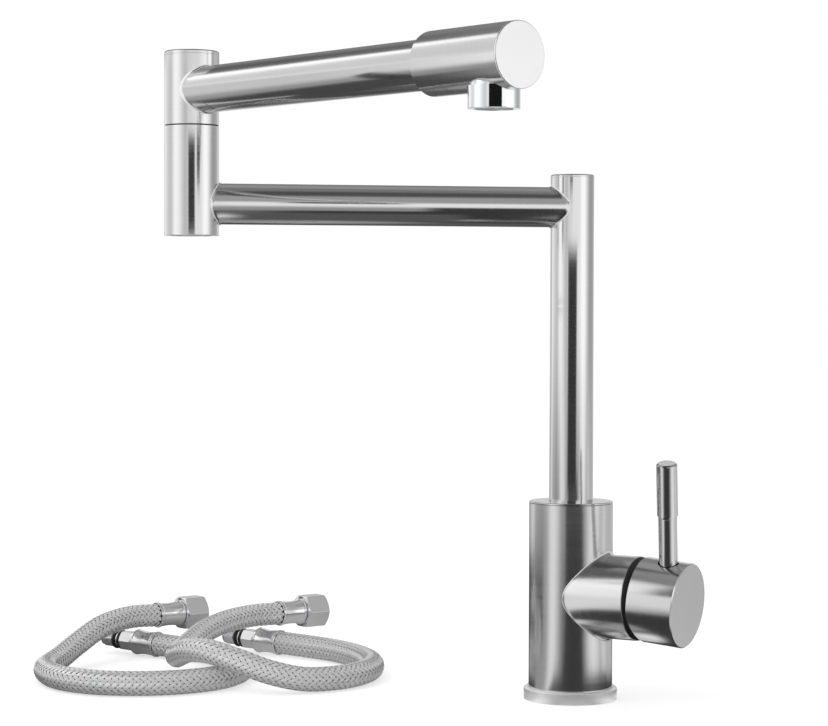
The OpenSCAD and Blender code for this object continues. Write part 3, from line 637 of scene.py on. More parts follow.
def seated(shape: bmesh.types.BMesh, cross_d: float, reach: float, length: float = 0.0) -> None:
    """Mitre a tube along Z onto an upright round one.

    Args:
        shape: The tube, whose own X stands upright.
        cross_d: Diameter of the tube that it is welded to.
        reach: Length of the end that is moved; the rest of the tube stays.
        length: 0 for the lower end, or the distance between the two axes for the upper one.
    """
    radius = cross_d / 2 - BITE
    for vert in shape.verts:
        sunk = math.sqrt(max(radius * radius - vert.co.y * vert.co.y, 0.0))
        if length and vert.co.z > length - reach:
            vert.co.z -= sunk
        elif not length and vert.co.z < reach:
            vert.co.z += sunk


def beaded(shape: bmesh.types.BMesh, radius: float, low: float, high: float = math.inf) -> None:
    """Mark the weld beads of a tube along Z for a finish of their own.

    Args:
        shape: The tube, still with straight ends.
        radius: Outer radius of the tube.
        low: Height below which its outside is a bead.
        high: Height above which it is one.
    """
    skin = 0.1
    for face in shape.faces:
        if all(vert.co.xy.length > radius - skin and not low < vert.co.z < high for vert in face.verts):
            face.material_index = 1


def hexagon(start: float, end: float, flats: float, corner: float) -> bmesh.types.BMesh:
    """Return a hexagonal bar along Z whose long corners are slightly rounded.

    Args:
        start: Lower end.
        end: Upper end.
        flats: Distance across the flats.
        corner: Width of the rounding on the long corners.

    Returns:
        The mesh.
    """
    shape = bmesh.new()
    radius = flats / 2 / math.cos(math.pi / 6)
    bmesh.ops.create_circle(shape, cap_ends=True, segments=6, radius=radius)
    base = list(shape.faces)
    up = bmesh.ops.extrude_face_region(shape, geom=base)["geom"]
    verts = [item for item in up if isinstance(item, bmesh.types.BMVert)]
    bmesh.ops.translate(shape, verts=verts, vec=(0, 0, end - start))
    bmesh.ops.translate(shape, verts=shape.verts, vec=(0, 0, start))
    upright = [edge for edge in shape.edges if abs(edge.verts[0].co.z - edge.verts[1].co.z) > MERGE]
    bmesh.ops.bevel(
        shape,
        geom=upright,
        offset=corner,
        offset_type="OFFSET",
        affect="EDGES",
        segments=3,
        profile=0.5,
        material=-1,
        clamp_overlap=True,
    )
    bmesh.ops.recalc_face_normals(shape, faces=shape.faces)
    return shape


def nut_body(start: float, end: float, flats: float, chamfer: float) -> bmesh.types.BMesh:
    """Return a hexagonal body whose ends are chamfered by a cone, as on a nut.

    Args:
        start: Lower end.
        end: Upper end.
        flats: Distance across the flats.
        chamfer: Height of the cone at each end.

    Returns:
        The mesh.
    """
    inner = flats / 2 - 0.15
    outer = inner + chamfer * CONE_SLOPE
    low, high = start + chamfer, end - chamfer
    cone = [(0, start), (inner, start), (outer, low), (outer, high), (inner, end), (0, end)]
    return carved(hexagon(start - 1, end + 1, flats, 0.35), turned(cone), "INTERSECT")


def threads(start: float, end: float, diameter: float, pitch: float, depth: float) -> Profile:
    """Return the profile of a thread's flanks, whose crests are a fifth of the pitch wide.

    Args:
        start: Where it starts along the axis.
        end: Where it ends.
        diameter: Diameter at the crests.
        pitch: Distance between two crests.
        depth: How deep the roots are; negative for a thread in a bore.

    Returns:
        Corners of the profile from start to end.
    """
    crest, root = diameter / 2, diameter / 2 - depth
    points = [(root, start)]
    for turn in range(int((end - start) / pitch)):
        foot = start + turn * pitch
        points += [(crest, foot + pitch * 0.4), (crest, foot + pitch * 0.6), (root, foot + pitch)]
    return points


def placed(
    shape: bmesh.types.BMesh,
    name: str,
    place: Matrix,
    body: str,
    finish: Finish,
    stands_for: Sequence[str] = (),
    edge: float = 0.3,
    axis: Optional[Matrix] = None,
) -> bpy.types.Object:
    """Make a finished piece of a mesh.

    Args:
        shape: The mesh, in millimetres; it is used up.
        name: Name of the piece.
        place: Frame of the mesh in the row frame, in millimetres.
        body: The moving body that it rides on.
        finish: Its finish.
        stands_for: The CAD nodes that it replaces.
        edge: Rounding of its sharp edges.
        axis: Frame whose Z its lines run round, if that isn't the place itself.

    Returns:
        The piece.
    """
    laid(shape, Matrix.Scale(MM, 4) @ place)
    mesh = bpy.data.meshes.new(name)
    shape.to_mesh(mesh)
    shape.free()
    mesh.materials.append(finish.material(axis or place))
    mesh.polygons.foreach_set("use_smooth", [True] * len(mesh.polygons))
    piece = bpy.data.objects.new(name, mesh)
    bpy.context.scene.collection.objects.link(piece)
    if edge > 0:
        rounding = piece.modifiers.new("edges", "BEVEL")
        rounding.width = edge * MM
        rounding.segments = 3
        rounding.limit_method = "ANGLE"
        rounding.angle_limit = SHARP
        even = piece.modifiers.new("normals", "WEIGHTED_NORMAL")
        even.weight = 80
    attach(piece, body)
    if stands_for:
        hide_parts(*stands_for)
    log.info("%s on %s: %d faces", name, body, len(mesh.polygons))
    return piece


def welded(piece: bpy.types.Object, place: Matrix) -> None:
    """Give the beads that are marked on a tube at a place their pale finish, whose pale tint is a painted
    highlight.
    """
    piece.data.materials.append(WELD_HIGHLIGHT_STEEL.material(place))


def faced(piece: bpy.types.Object, end: Matrix, finish: Finish) -> None:
    """Give a piece's flat end its own finish.

    Args:
        piece: The finished piece.
        end: Frame on the end, whose Z looks out of it.
        finish: The end's finish.
    """
    outwards = end.to_3x3() @ Vector((0, 0, 1))
    centre = end.to_translation() * MM
    depth = 0.2 * MM
    piece.data.materials.append(finish.material(end))
    for face in piece.data.polygons:
        if face.normal.dot(outwards) > 0.99 and abs((face.center - centre).dot(outwards)) < depth:
            face.material_index = 1


def carried(node: str, finish: Finish, axis: Matrix = UPRIGHT) -> None:
    """Give a CAD node that stays its finish.

    Args:
        node: Name of the node.
        finish: Its finish.
        axis: Frame whose Z its lines run round.
    """
    thing = bpy.data.objects[node]
    thing.data.materials.clear()
    thing.data.materials.append(finish.material(axis))
    log.info("%s keeps its solid, in %s", node, finish.slot.value)


# Camera and studio


@dataclass
class Camera:
    """The photograph's own view, found by fitting a camera to its edges."""

    place: Triple = (0.59873, -1.16100, 0.21627)
    turn: float = 31.086
    pitch: float = 90 - 1.382
    roll: float = 0.162
    lens: float = 103.07
    sensor: float = 36.0
    sight: float = 50.0

    def build(self) -> None:
        """Create the camera and make it the scene's."""
        data = bpy.data.cameras.new("camera")
        data.lens = self.lens
        data.sensor_width = self.sensor
        data.clip_end = self.sight
        view = bpy.data.objects.new("camera", data)
        bpy.context.scene.collection.objects.link(view)
        spun = turned_by("Z", self.turn) @ turned_by("X", self.pitch) @ turned_by("Z", self.roll)
        view.matrix_world = Matrix.Translation(self.place) @ spun
        bpy.context.scene.camera = view
        log.info("camera at %s", self.place)


@dataclass
class Studio:
    """White surroundings, a white floor that keeps the shadow, and the dark and light cards for the steel.

    Bearings are degrees to the right of the camera, as seen from the faucet, and a light of 1 is white.
    Sizes here are in metres, but those of the flags are in millimetres, as the faucet's are. The bands of
    the dome, the screen and the mat each give bearings with their light, or for the mat's edge its distance.
    """

    hinge: Matrix
    outlet: Matrix
    camera_azimuth: float = 301.1
    world_light: float = 0.85
    floor_size: float = 8.0
    floor_tint: float = 0.52
    floor_glow: float = 0.6
    dome_radius: float = 3.0
    low_to_high: tuple[float, float] = (10, 24)
    high_to_top: tuple[float, float] = (43, 58)
    top_to_zenith: tuple[float, float] = (72, 84)
    zenith: float = 0.24
    disc_card: float = 1.45
    screen_radius: float = 0.8
    screen_height: float = 0.44
    screen_fade: float = 0.04
    mat_lift: float = 0.0003
    mat_hole: tuple[float, float] = (0.036, 0.046)
    # Light of the painted shade on the mat near the faucet and below the spout
    mat_shade_near: float = 0.05
    mat_shade_under_spout: float = 0.08
    lamp_size: tuple[float, float] = (1.6, 1.2)
    lamp_power: float = 14.0
    lamp_place: Triple = (-0.5, -1.6, 1.7)
    lamp_aim: Triple = (-0.05, 0.0, 0.15)
    screen_low: Stops = (
        (-180, 0.25), (-162, 0.3), (-150, 0.6), (-128, 0.9), (-117, 0.5), (-97, 0.4), (-84, 0.38),
        (-72, 0.46), (-66, 0.7), (-58, 0.96), (-49, 0.96), (-39, 0.8), (-30, 0.42), (-19, 0.4),
        (-5, 0.5), (20, 0.5), (26, 0.4), (32, 0.3), (39, 0.56), (49, 0.9), (60, 1.08), (71, 0.95),
        (84, 0.6), (92, 0.7), (98, 0.9), (106, 0.65), (133, 0.58), (150, 0.7), (164, 0.3), (180, 0.25),
    )
    screen_high: Stops = (
        (-180, 0.8), (-160, 0.8), (-150, 0.6), (-142, 0.6), (-128, 1.2), (-117, 1.05), (-108, 0.9),
        (-97, 0.8), (-88, 0.75), (-80, 1.0), (-74, 1.3), (-64, 1.3), (-55, 1.15), (-45, 0.85),
        (-33, 0.65), (-24, 0.9), (0, 1.1), (20, 1.1), (35, 1.1), (49, 1.4), (64, 1.4), (75, 1.1),
        (88, 0.7), (95, 0.54), (105, 0.45), (117, 0.45), (142, 0.55), (150, 0.8), (180, 0.8),
    )
    dome_low: Stops = (
        (-180, 0.3), (-130, 0.6), (-115, 1.0), (-98, 1.1), (-88, 0.9), (-80, 1.2), (-75, 1.4),
        (-58, 1.4), (-50, 1.1), (-40, 0.9), (-25, 0.95), (0, 1.0), (24, 1.0), (45, 1.3), (65, 1.35),
        (75, 0.8), (95, 0.5), (124, 0.8), (180, 0.3),
    )
    dome_high: Stops = (
        (-180, 0.25), (-160, 0.26), (-145, 0.14), (-131, 0.16), (-123, 0.3), (-119, 1.6), (-112, 1.5),
        (-107, 0.9), (-98, 0.85), (-90, 0.8), (-80, 1.0), (-75, 1.2), (-58, 1.3), (-48, 1.0), (-35, 0.7),
        (-20, 0.5), (24, 0.42), (35, 0.5), (65, 0.6), (75, 0.4), (100, 0.35), (150, 0.3), (180, 0.25),
    )
    dome_top: Stops = (
        (-180, 0.38), (-150, 0.38), (-110, 0.35), (-62, 0.3), (-20, 0.12), (0, 0.1), (40, 0.1),
        (60, 0.22), (118, 0.3), (180, 0.38),
    )
    mat_band: Stops = (
        (-180, 0.12), (-162, 0.12), (-140, 0.4), (-91, 0.38), (-72, 0.42), (-64, 0.75), (-57, 0.98),
        (-49, 0.95), (-41, 0.7), (-31, 0.35), (-22, 0.15), (-14, 0.35), (0, 0.4), (20, 0.35), (28, 0.15),
        (36, 0.42), (46, 0.85), (57, 1.02), (68.6, 0.95), (81, 0.63), (95, 0.86), (112, 0.6),
        (134, 0.6), (160, 0.12), (180, 0.12),
    )
    mat_from: Stops = (
        (-180, 0.06), (-100, 0.05), (-95, 0.03), (-60, 0.03), (-45, 0.09), (-25, 0.09), (-15, 0.26),
        (20, 0.26), (30, 0.06), (35, 0.1), (100, 0.1), (110, 0.06), (180, 0.06),
    )
    mat_to: Stops = (
        (-180, 0.15), (-105, 0.12), (-95, 0.05), (-60, 0.06), (-45, 0.15), (-25, 0.15), (-15, 0.5),
        (20, 0.5), (30, 0.14), (180, 0.15),
    )

    def build(self) -> None:
        """Create the world, floor, cards and lamp."""
        self._world()
        self._floor()
        self._dome()
        self._screen()
        self._mat()
        self._flag("flag_riser", self._facing(UPRIGHT, -1.0, 112, 178), 158, 106, soft=16.0)
        self._flag("flag_hinge", self._facing(self.hinge, 4.5, 112, 284), 66, 60, soft=9.0)
        self._flag("flag_outlet", self._facing(self.outlet, 4.0, 75, 312), 40, 80, light=0.01, soft=5.0)
        self._flag("flag_deck", self._facing(UPRIGHT, 5.0, 250, 48), 140, 240, soft=30.0)
        below_arm = turned_by("Z", 220.5) @ moved(118, 24, 216.3)
        self._flag("flag_arm", below_arm, 150, 76, light=0.12, soft=20.0)
        self._lamp()
        log.info("studio built")

    @staticmethod
    def _shown(graph: Graph) -> Wire:
        """Pick out the rays that see the white background.

        Args:
            graph: The graph of a material or the world.

        Returns:
            1 for those rays and 0 for the others.
        """
        camera = graph.node("ShaderNodeLightPath", None, None, "Is Camera Ray")
        glossy = graph.node("ShaderNodeLightPath", None, None, "Is Glossy Ray")
        through = graph.node("ShaderNodeLightPath", None, None, "Is Transmission Ray")
        return camera.math("MAXIMUM", glossy).math("MAXIMUM", through)

    def _world(self) -> None:
        """Make the world white where it is seen and a little softer as a lamp."""
        world = bpy.data.worlds.new("studio")
        bpy.context.scene.world = world
        graph = Graph(world)
        strength = self.world_light + (1 - self.world_light) * self._shown(graph)
        white = (1.0, 1.0, 1.0, 1.0)
        graph.surface(graph.node("ShaderNodeBackground", None, {"Color": white, "Strength": strength}))
        world.cycles.sampling_method = "NONE"

    def _floor(self) -> None:
        """Make a white floor on which only the shadow shows."""
        shape = bmesh.new()
        bmesh.ops.create_grid(shape, x_segments=1, y_segments=1, size=self.floor_size / MM)
        graph = self._staged(shape, "floor")
        tint = (self.floor_tint, self.floor_tint, self.floor_tint, 1.0)
        matt = graph.node("ShaderNodeBsdfDiffuse", None, {"Color": tint})
        glow = self._light(graph, self._shown(graph) * self.floor_glow)
        graph.surface(graph.node("ShaderNodeAddShader", None, {0: glow, 1: matt}))

    @staticmethod
    def _staged(shape: bmesh.types.BMesh, name: str, mirrored_only: bool = False) -> Graph:
        """Make an object of the stage.

        Args:
            shape: Its mesh, in millimetres; it is used up.
            name: Its name and that of its material.
            mirrored_only: Whether it is a card that shows in reflections alone.

        Returns:
            The empty tree of its material.
        """
        laid(shape, Matrix.Scale(MM, 4))
        mesh = bpy.data.meshes.new(name)
        shape.to_mesh(mesh)
        shape.free()
        thing = bpy.data.objects.new(name, mesh)
        bpy.context.scene.collection.objects.link(thing)
        made = bpy.data.materials.new(name)
        mesh.materials.append(made)
        if mirrored_only:
            made.cycles.emission_sampling = "NONE"
            thing.visible_camera = False
            thing.visible_diffuse = False
            thing.visible_transmission = False
            thing.visible_volume_scatter = False
            thing.visible_shadow = False
        return Graph(made)

    @staticmethod
    def _light(graph: Graph, light: Wire) -> Wire:
        """Return a shader that glows as strongly as a value says."""
        colour = graph.joined(light, light, light)
        return graph.node("ShaderNodeEmission", None, {"Color": colour, "Strength": 1.0})

    def _bearing(self, graph: Graph) -> tuple[Wire, Wire, Wire]:
        """Work out where a point of the studio is seen from the faucet.

        Args:
            graph: The graph of a card's material.

        Returns:
            The place of its bearing on a ramp, its distance from the column's axis and its height.
        """
        here = graph.node("ShaderNodeTexCoord", None, None, "Object")
        turn = (0.0, 0.0, math.radians(-self.camera_azimuth))
        x, y, z = graph.split(graph.node("ShaderNodeMapping", None, {"Vector": here, "Rotation": turn}))
        place = graph.math("ARCTAN2", y, x) / (2 * math.pi) + 0.5
        return place, (x * x + y * y) ** 0.5, z

    @staticmethod
    def _band(graph: Graph, place: Wire, stops: Stops) -> Wire:
        """Look up the light of a band of cards.

        Args:
            graph: The graph of the cards' material.
            place: Place on the ramp, as _bearing gives it.
            stops: Bearing and light of each stop, which is 2 at most.

        Returns:
            The light at that bearing.
        """
        spread = [((angle + 180) / 360, value / 2) for angle, value in stops]
        colour = graph.node("ShaderNodeValToRGB", {"stops": spread}, {0: place})
        return graph.node("ShaderNodeSeparateColor", None, {0: colour}) * 2

    def _dome(self) -> None:
        """Make the dome of cards, in three bands one over the other, with a card for the spout's end disc."""
        shape = bmesh.new()
        bmesh.ops.create_uvsphere(shape, u_segments=96, v_segments=48, radius=self.dome_radius / MM)
        graph = self._staged(shape, "card_dome", True)
        place, distance, height = self._bearing(graph)
        rise = graph.math("ARCTAN2", height, distance) * (180 / math.pi)
        low = self._band(graph, place, self.dome_low)
        high = self._band(graph, place, self.dome_high)
        top = self._band(graph, place, self.dome_top)
        lit = low + (high - low) * rise.ramped(*self.low_to_high)
        lit = lit + (top - lit) * rise.ramped(*self.high_to_top)
        lit = lit + (self.zenith - lit) * rise.ramped(*self.top_to_zenith)
        bearing = place * 360 - 180
        card = bearing.within((76, 78), (95, 97)) * rise.within((3.5, 5), (20, 22))
        graph.surface(self._light(graph, lit + (self.disc_card - lit) * card))

    def _screen(self) -> None:
        """Make the low screen that upright tubes mirror; its upper rim fades out."""
        shape = bmesh.new()
        depth, radius = self.screen_height / MM, self.screen_radius / MM
        bmesh.ops.create_cone(
            shape, cap_ends=False, segments=128, radius1=radius, radius2=radius, depth=depth
        )
        bmesh.ops.translate(shape, verts=shape.verts, vec=(0, 0, depth / 2))
        graph = self._staged(shape, "card_screen", True)
        place, _, height = self._bearing(graph)
        low = self._band(graph, place, self.screen_low)
        lit = low + (self._band(graph, place, self.screen_high) - low) * height.ramped(0.03, 0.22)
        glow = self._light(graph, lit)
        clear = graph.node("ShaderNodeBsdfTransparent")
        fade = height.ramped(self.screen_height - self.screen_fade, self.screen_height)
        graph.surface(graph.node("ShaderNodeMixShader", None, {0: fade, 1: glow, 2: clear}))

    def _mat(self) -> None:
        """Make the mat under the faucet, dark near it and below the spout and lighter further out; the dark
        near the faucet and below the spout is painted shade that the steel mirrors.
        """
        shape = bmesh.new()
        bmesh.ops.create_circle(shape, cap_ends=True, segments=96, radius=self.dome_radius / MM * 0.99)
        bmesh.ops.translate(shape, verts=shape.verts, vec=(0, 0, self.mat_lift / MM))
        graph = self._staged(shape, "card_mat", True)
        place, distance, _ = self._bearing(graph)
        # The mat's dark middle stands for the faucet's shade on the floor: painted shade in what the steel
        # mirrors.
        near = self._band(graph, place, self.mat_from)
        far = self._band(graph, place, self.mat_to)
        share = ((distance - near) / (far - near)).ramped(0, 1)
        share = share.math("MAXIMUM", 1 - distance.ramped(*self.mat_hole))
        lit = self.mat_shade_near + (self._band(graph, place, self.mat_band) - self.mat_shade_near) * share
        bearing = place * 360 - 180
        # A darker patch of painted shade on the floor below the spout.
        shade_under_spout = bearing.within((-165, -152), (-88, -80)) * distance.within((0.22, 0.32), (0.6, 0.8))
        graph.surface(self._light(graph, lit + (self.mat_shade_under_spout - lit) * shade_under_spout))

    def _facing(self, axis: Matrix, bearing: float, distance: float, height: float) -> Matrix:
        """Find the place of an upright flag.

        Args:
            axis: Frame of the upright tube that it is for.
            bearing: Its bearing from that tube.
            distance: Its distance from the tube's axis, in millimetres.
            height: Height of its middle, in millimetres.

        Returns:
            The frame in its middle, whose X stands up.
        """
        foot = moved(axis.translation.x, axis.translation.y, height)
        return foot @ turned_by("Z", self.camera_azimuth + bearing) @ moved(distance) @ ALONG_X

    def _flag(
        self, name: str, place: Matrix, length: float, width: float, light: float = 0.05, soft: float = 6.0
    ) -> None:
        """Hang a dark flag with soft edges, which the tube next to it mirrors as a line.

        Args:
            name: Name of the flag.
            place: Frame in its middle, with its X along the flag and its Y across.
            length: Length, in millimetres.
            width: Width, in millimetres.
            light: Its own faint light.
            soft: Width of its soft edge, in millimetres.
        """
        shape = bmesh.new()
        bmesh.ops.create_grid(shape, x_segments=1, y_segments=1, size=0.5)
        laid(shape, place @ Matrix.Diagonal((length, width, 1, 1)))
        graph = self._staged(shape, name, True)
        dark = graph.node("ShaderNodeEmission", None, {"Color": (light, light, light, 1.0), "Strength": 1.0})
        clear = graph.node("ShaderNodeBsdfTransparent")
        fades = [
            (way.math("ABSOLUTE") / MM).ramped(size / 2 - soft, size / 2)
            for way, size in zip(graph.split(graph.on_axis(place)), (length, width))
        ]
        fade = fades[0].math("MAXIMUM", fades[1])
        graph.surface(graph.node("ShaderNodeMixShader", None, {0: fade, 1: dark, 2: clear}))

    def _lamp(self) -> None:
        """Add a large soft lamp that only gives form to what doesn't mirror."""
        data = bpy.data.lights.new("softbox", "AREA")
        data.shape = "RECTANGLE"
        data.size, data.size_y = self.lamp_size
        data.energy = self.lamp_power
        lamp = bpy.data.objects.new("softbox", data)
        bpy.context.scene.collection.objects.link(lamp)
        aim = (Vector(self.lamp_aim) - Vector(self.lamp_place)).to_track_quat("-Z", "Y")
        lamp.matrix_world = Matrix.Translation(self.lamp_place) @ aim.to_matrix().to_4x4()
        lamp.visible_glossy = False
        lamp.visible_camera = False


# Supply hoses


@dataclass
class SupplyHose:
    """One braided supply hose with a slim connector on one end and a union nut on the other.

    The plan gives the knots of its centreline seen from above, and the rises their heights. The ribbons
    of the braid swing out and in by the wave as they cross, and their edges lie lower by the crown.
    """

    letter: str
    rises: Sequence[float]
    shift: tuple[float, float]
    at: tuple[float, float] = (-245.0, -60.0)
    turn: float = 33.7
    diameter: float = 14.0
    core_d: float = 12.76
    ferrule_d: float = 15.6
    ferrule_l: float = 17.0
    carriers: int = 12
    pitch: float = 44.0
    ribbon: float = 1.95
    crown: float = 0.1
    wave: float = 0.2
    span_steps: int = 12
    core_steps: int = 4
    plan: Sequence[tuple[float, float]] = (
        (1, 72), (17, 60), (32, 46), (44, 27), (52, 6), (55, -13), (53, -32), (45, -50), (32, -63), (15, -71),
        (-3, -73), (-21, -70), (-37, -61), (-49, -47), (-56, -29), (-58, -11), (-53, 10), (-44, 31),
        (-32, 51), (-17, 70), (-1, 81),
    )

    def __post_init__(self) -> None:
        """Work out the centreline with its length and its frames."""
        place = moved(*self.at) @ turned_by("Z", self.turn) @ moved(*self.shift)
        self.knots = [place @ Vector((x, y, z)) for (x, y), z in zip(self.plan, self.rises)]
        self.line = self._spline(self.span_steps)
        self.lengths = [0.0]
        for start, end in zip(self.line, self.line[1:]):
            self.lengths.append(self.lengths[-1] + (end - start).length)

    def _spline(self, steps: int) -> list[Vector]:
        """Lay the smooth line through the knots, with its ends straight.

        Args:
            steps: Points for each span.

        Returns:
            The line's points.
        """
        k = self.knots
        ends = [2 * k[0] - k[1]] + k + [2 * k[-1] - k[-2]]
        line = []
        for a, b, c, d in zip(ends, ends[1:], ends[2:], ends[3:]):
            for step in range(steps):
                t = step / steps
                line.append(
                    0.5 * (2 * b + (c - a) * t + (2 * a - 5 * b + 4 * c - d) * t * t)
                    + 0.5 * (3 * b - a - 3 * c + d) * t ** 3
                )
        return line + [k[-1]]

    def _station(self, along: float) -> tuple[Vector, Vector, Vector, Vector]:
        """Find the place at a distance along the hose.

        Args:
            along: Distance from the connector's end, in millimetres.

        Returns:
            The point there, and the directions of the hose's heading, side and top.
        """
        last = len(self.line) - 1
        low, high = 0, last - 1
        while low < high:
            middle = (low + high + 1) // 2
            low, high = (middle, high) if self.lengths[middle] <= along else (low, middle - 1)
        share = (along - self.lengths[low]) / (self.lengths[low + 1] - self.lengths[low])
        point = self.line[low].lerp(self.line[low + 1], share)
        before = self._heading(low)
        heading = before.lerp(self._heading(low + 1), share).normalized()
        side = heading.cross(Vector((0, 0, 1))).normalized()
        return point, heading, side, side.cross(heading)

    def _heading(self, index: int) -> Vector:
        """Return the direction of the centreline at one of its points."""
        low, high = max(index - 1, 0), min(index + 1, len(self.line) - 1)
        return (self.line[high] - self.line[low]).normalized()

    def ends(self) -> tuple[Matrix, Matrix]:
        """Return the frames of the connector's and the nut's end, which look out of the hose."""
        k = self.knots
        return aimed(k[0], k[0] - k[1]), aimed(k[-1], k[-1] - k[-2])

    def _name(self, word: str) -> str:
        """Return the name of one of this hose's nodes."""
        return f"hose_{self.letter}_{word}"

    def build(self) -> None:
        start, end = self.ends()
        riders = [
            self._braid(),
            self._ferrule(start, "connector"),
            self._ferrule(end, "union"),
            self._connector(start),
            self._nut(end),
        ]
        for word, finish, axis in (
            ("orings", RUBBER, start), ("tail", PLATED, end), ("washer", RUBBER, end),
        ):
            carried(self._name(word), finish, axis)
            riders.append(bpy.data.objects[self._name(word)])
        core = self._core()
        log.info("hose %s is %.0f mm long", self.letter, self.lengths[-1])

    def _core(self) -> bpy.types.Object:
        """Make the rubber hose under the braid, as a curve.

        Returns:
            The piece.
        """
        data = bpy.data.curves.new(self._name("core"), "CURVE")
        data.dimensions = "3D"
        data.bevel_depth = self.core_d / 2 * MM
        data.bevel_resolution = 6
        data.use_fill_caps = True
        spline = data.splines.new("POLY")
        points = self._spline(self.core_steps)
        spline.points.add(len(points) - 1)
        for point, place in zip(spline.points, points):
            point.co = (*(place * MM), 1.0)
        data.materials.append(HOSE_CORE.material(UPRIGHT))
        core = bpy.data.objects.new(self._name("core"), data)
        bpy.context.scene.collection.objects.link(core)
        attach(core, "body")
        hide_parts(self._name("tube"))
        return core

    def _braid(self) -> bpy.types.Object:
        """Make the braid: ribbons of wires in both directions, two over and two under.

        Returns:
            The piece.
        """
        shape = bmesh.new()
        chart = shape.loops.layers.uv.new("wires")
        total = self.lengths[-1]
        steps = int(total / self.pitch * 2 * self.carriers * 2)
        for sense in (1, -1):
            for carrier in range(self.carriers):
                grid = bmesh.ops.create_grid(shape, x_segments=steps, y_segments=3, size=1.0)
                for vert in grid["verts"]:
                    along, across = (vert.co.x + 1) / 2 * total, vert.co.y
                    for loop in vert.link_loops:
                        loop[chart].uv = ((across + 1) / 2, along)
                    vert.co = self._on_braid(sense, carrier, along, across)
        bmesh.ops.recalc_face_normals(shape, faces=shape.faces)
        self._face_outwards(shape)
        return placed(shape, self._name("braid"), UPRIGHT, "body", BRAID, (), 0.0)

    def _on_braid(self, sense: int, carrier: int, along: float, across: float) -> Vector:
        """Return a point of one ribbon.

        Args:
            sense: 1 for a right-hand ribbon and -1 for a left-hand one.
            carrier: Number of the ribbon.
            along: Distance along the hose.
            across: Place across the ribbon, from -1 to 1.

        Returns:
            The point, in millimetres.
        """
        radius = self.diameter / 2 - self.wave
        slope = sense * 2 * math.pi * radius / self.pitch
        spread = across * self.ribbon / 2 / math.hypot(1, slope)
        crossing = 2 * carrier + sense * 2 * self.carriers * along / self.pitch
        lift = sense * self.wave * math.cos(math.pi / 2 * crossing - math.pi / 4)
        angle = 2 * math.pi * (carrier / self.carriers + sense * along / self.pitch) + spread / radius
        place = min(max(along - slope * spread, 0.0), self.lengths[-1])
        point, _, side, top = self._station(place)
        out = side * math.cos(angle) + top * math.sin(angle)
        return point + out * (radius + lift - self.crown * across * across)

    def _face_outwards(self, shape: bmesh.types.BMesh) -> None:
        """Turn the ribbons' faces away from the centreline.

        Args:
            shape: The mesh of all ribbons.
        """
        wrong = []
        reach = self.span_steps + 2
        for face in shape.faces:
            centre = face.calc_center_median()
            near = min(self.knots, key=lambda knot: (knot - centre).length_squared)
            index = self.knots.index(near) * self.span_steps
            window = self.line[max(index - reach, 0):index + reach + 1]
            axis = min(window, key=lambda point: (point - centre).length_squared)
            if face.normal.dot(centre - axis) < 0:
                wrong.append(face)
        bmesh.ops.reverse_faces(shape, faces=wrong)

    def _ferrule(self, place: Matrix, word: str) -> bpy.types.Object:
        """Make a crimped ferrule with a rolled bead at each rim.

        Args:
            place: Frame of the hose's end, looking out of it.
            word: Which end that is, connector or union; the first one's piece stands for both solids.

        Returns:
            The piece.
        """
        r, length = self.ferrule_d / 2, self.ferrule_l
        mouth, neck, wall = 6.9, 4.2, 0.6
        profile = [
            (mouth, 0.0), (r - 0.2, 0.0), (r, 0.5), (r, 1.3), (r - 0.25, 1.9), (r - 0.5, 2.2),
            (r - 0.55, 4.0), (r - 0.8, 6.5), (r - 0.85, 9.0), (r - 0.7, 12.0), (r - 0.35, 14.2),
            (r - 0.3, 15.1), (r, 15.5), (r, 16.4), (r - 0.3, length), (neck, length), (neck, wall),
            (mouth, wall),
        ]
        node = (self._name("ferrules"),) if word == "connector" else ()
        return placed(turned(profile), f"{self._name('ferrule')}_{word}", place, "body", PLATED, node, 0.15)

    def _connector(self, place: Matrix) -> bpy.types.Object:
        """Make the slim connector: collar, hexagon, two grooves for the rings and a threaded tip.

        Args:
            place: Frame of the hose's end, looking out of it.

        Returns:
            The piece.
        """
        bore, collar, groove, rib = 2.5, 6.75, 4.05, 4.95
        tip = [
            (bore, 17.0), (collar - 0.35, 17.0), (collar, 17.4), (collar, 18.2), (collar - 0.35, 18.5),
            (4.6, 18.5), (groove, 27.4), (groove, 30.1), (rib, 30.1), (rib, 30.9), (groove, 30.9),
            (groove, 34.0),
        ]
        tip += threads(34.5, 42.4, 9.9, 1.0, 0.5)
        tip += [(4.35, 43.0), (bore, 43.0)]
        body = joined_shapes(turned(tip), nut_body(18.5, 27.5, 11, 0.7))
        name, node = self._name("connector_turned"), self._name("connector")
        return placed(body, name, place, "body", PLATED, (node,), 0.12)

    def _nut(self, place: Matrix) -> bpy.types.Object:
        """Make the union nut, with its thread inside.

        Args:
            place: Frame of the hose's end, looking out of it.

        Returns:
            The piece.
        """
        neck, room = 5.3, 7.9
        bore = [(0, 16.5), (neck, 16.5), (neck, 20.2), (room, 20.2), (room, 23.6)]
        bore += threads(23.7, 31.7, 15.2, 1.0, -0.45)
        bore += [(8.1, 33.5), (0, 33.5)]
        body = carved(nut_body(17.3, 32.6, 19, 1.1), turned(bore))
        name, node = self._name("nut_hexagon"), self._name("nut")
        return placed(body, name, place, f"union_{self.letter}", PLATED, (node,), 0.2)


# Column


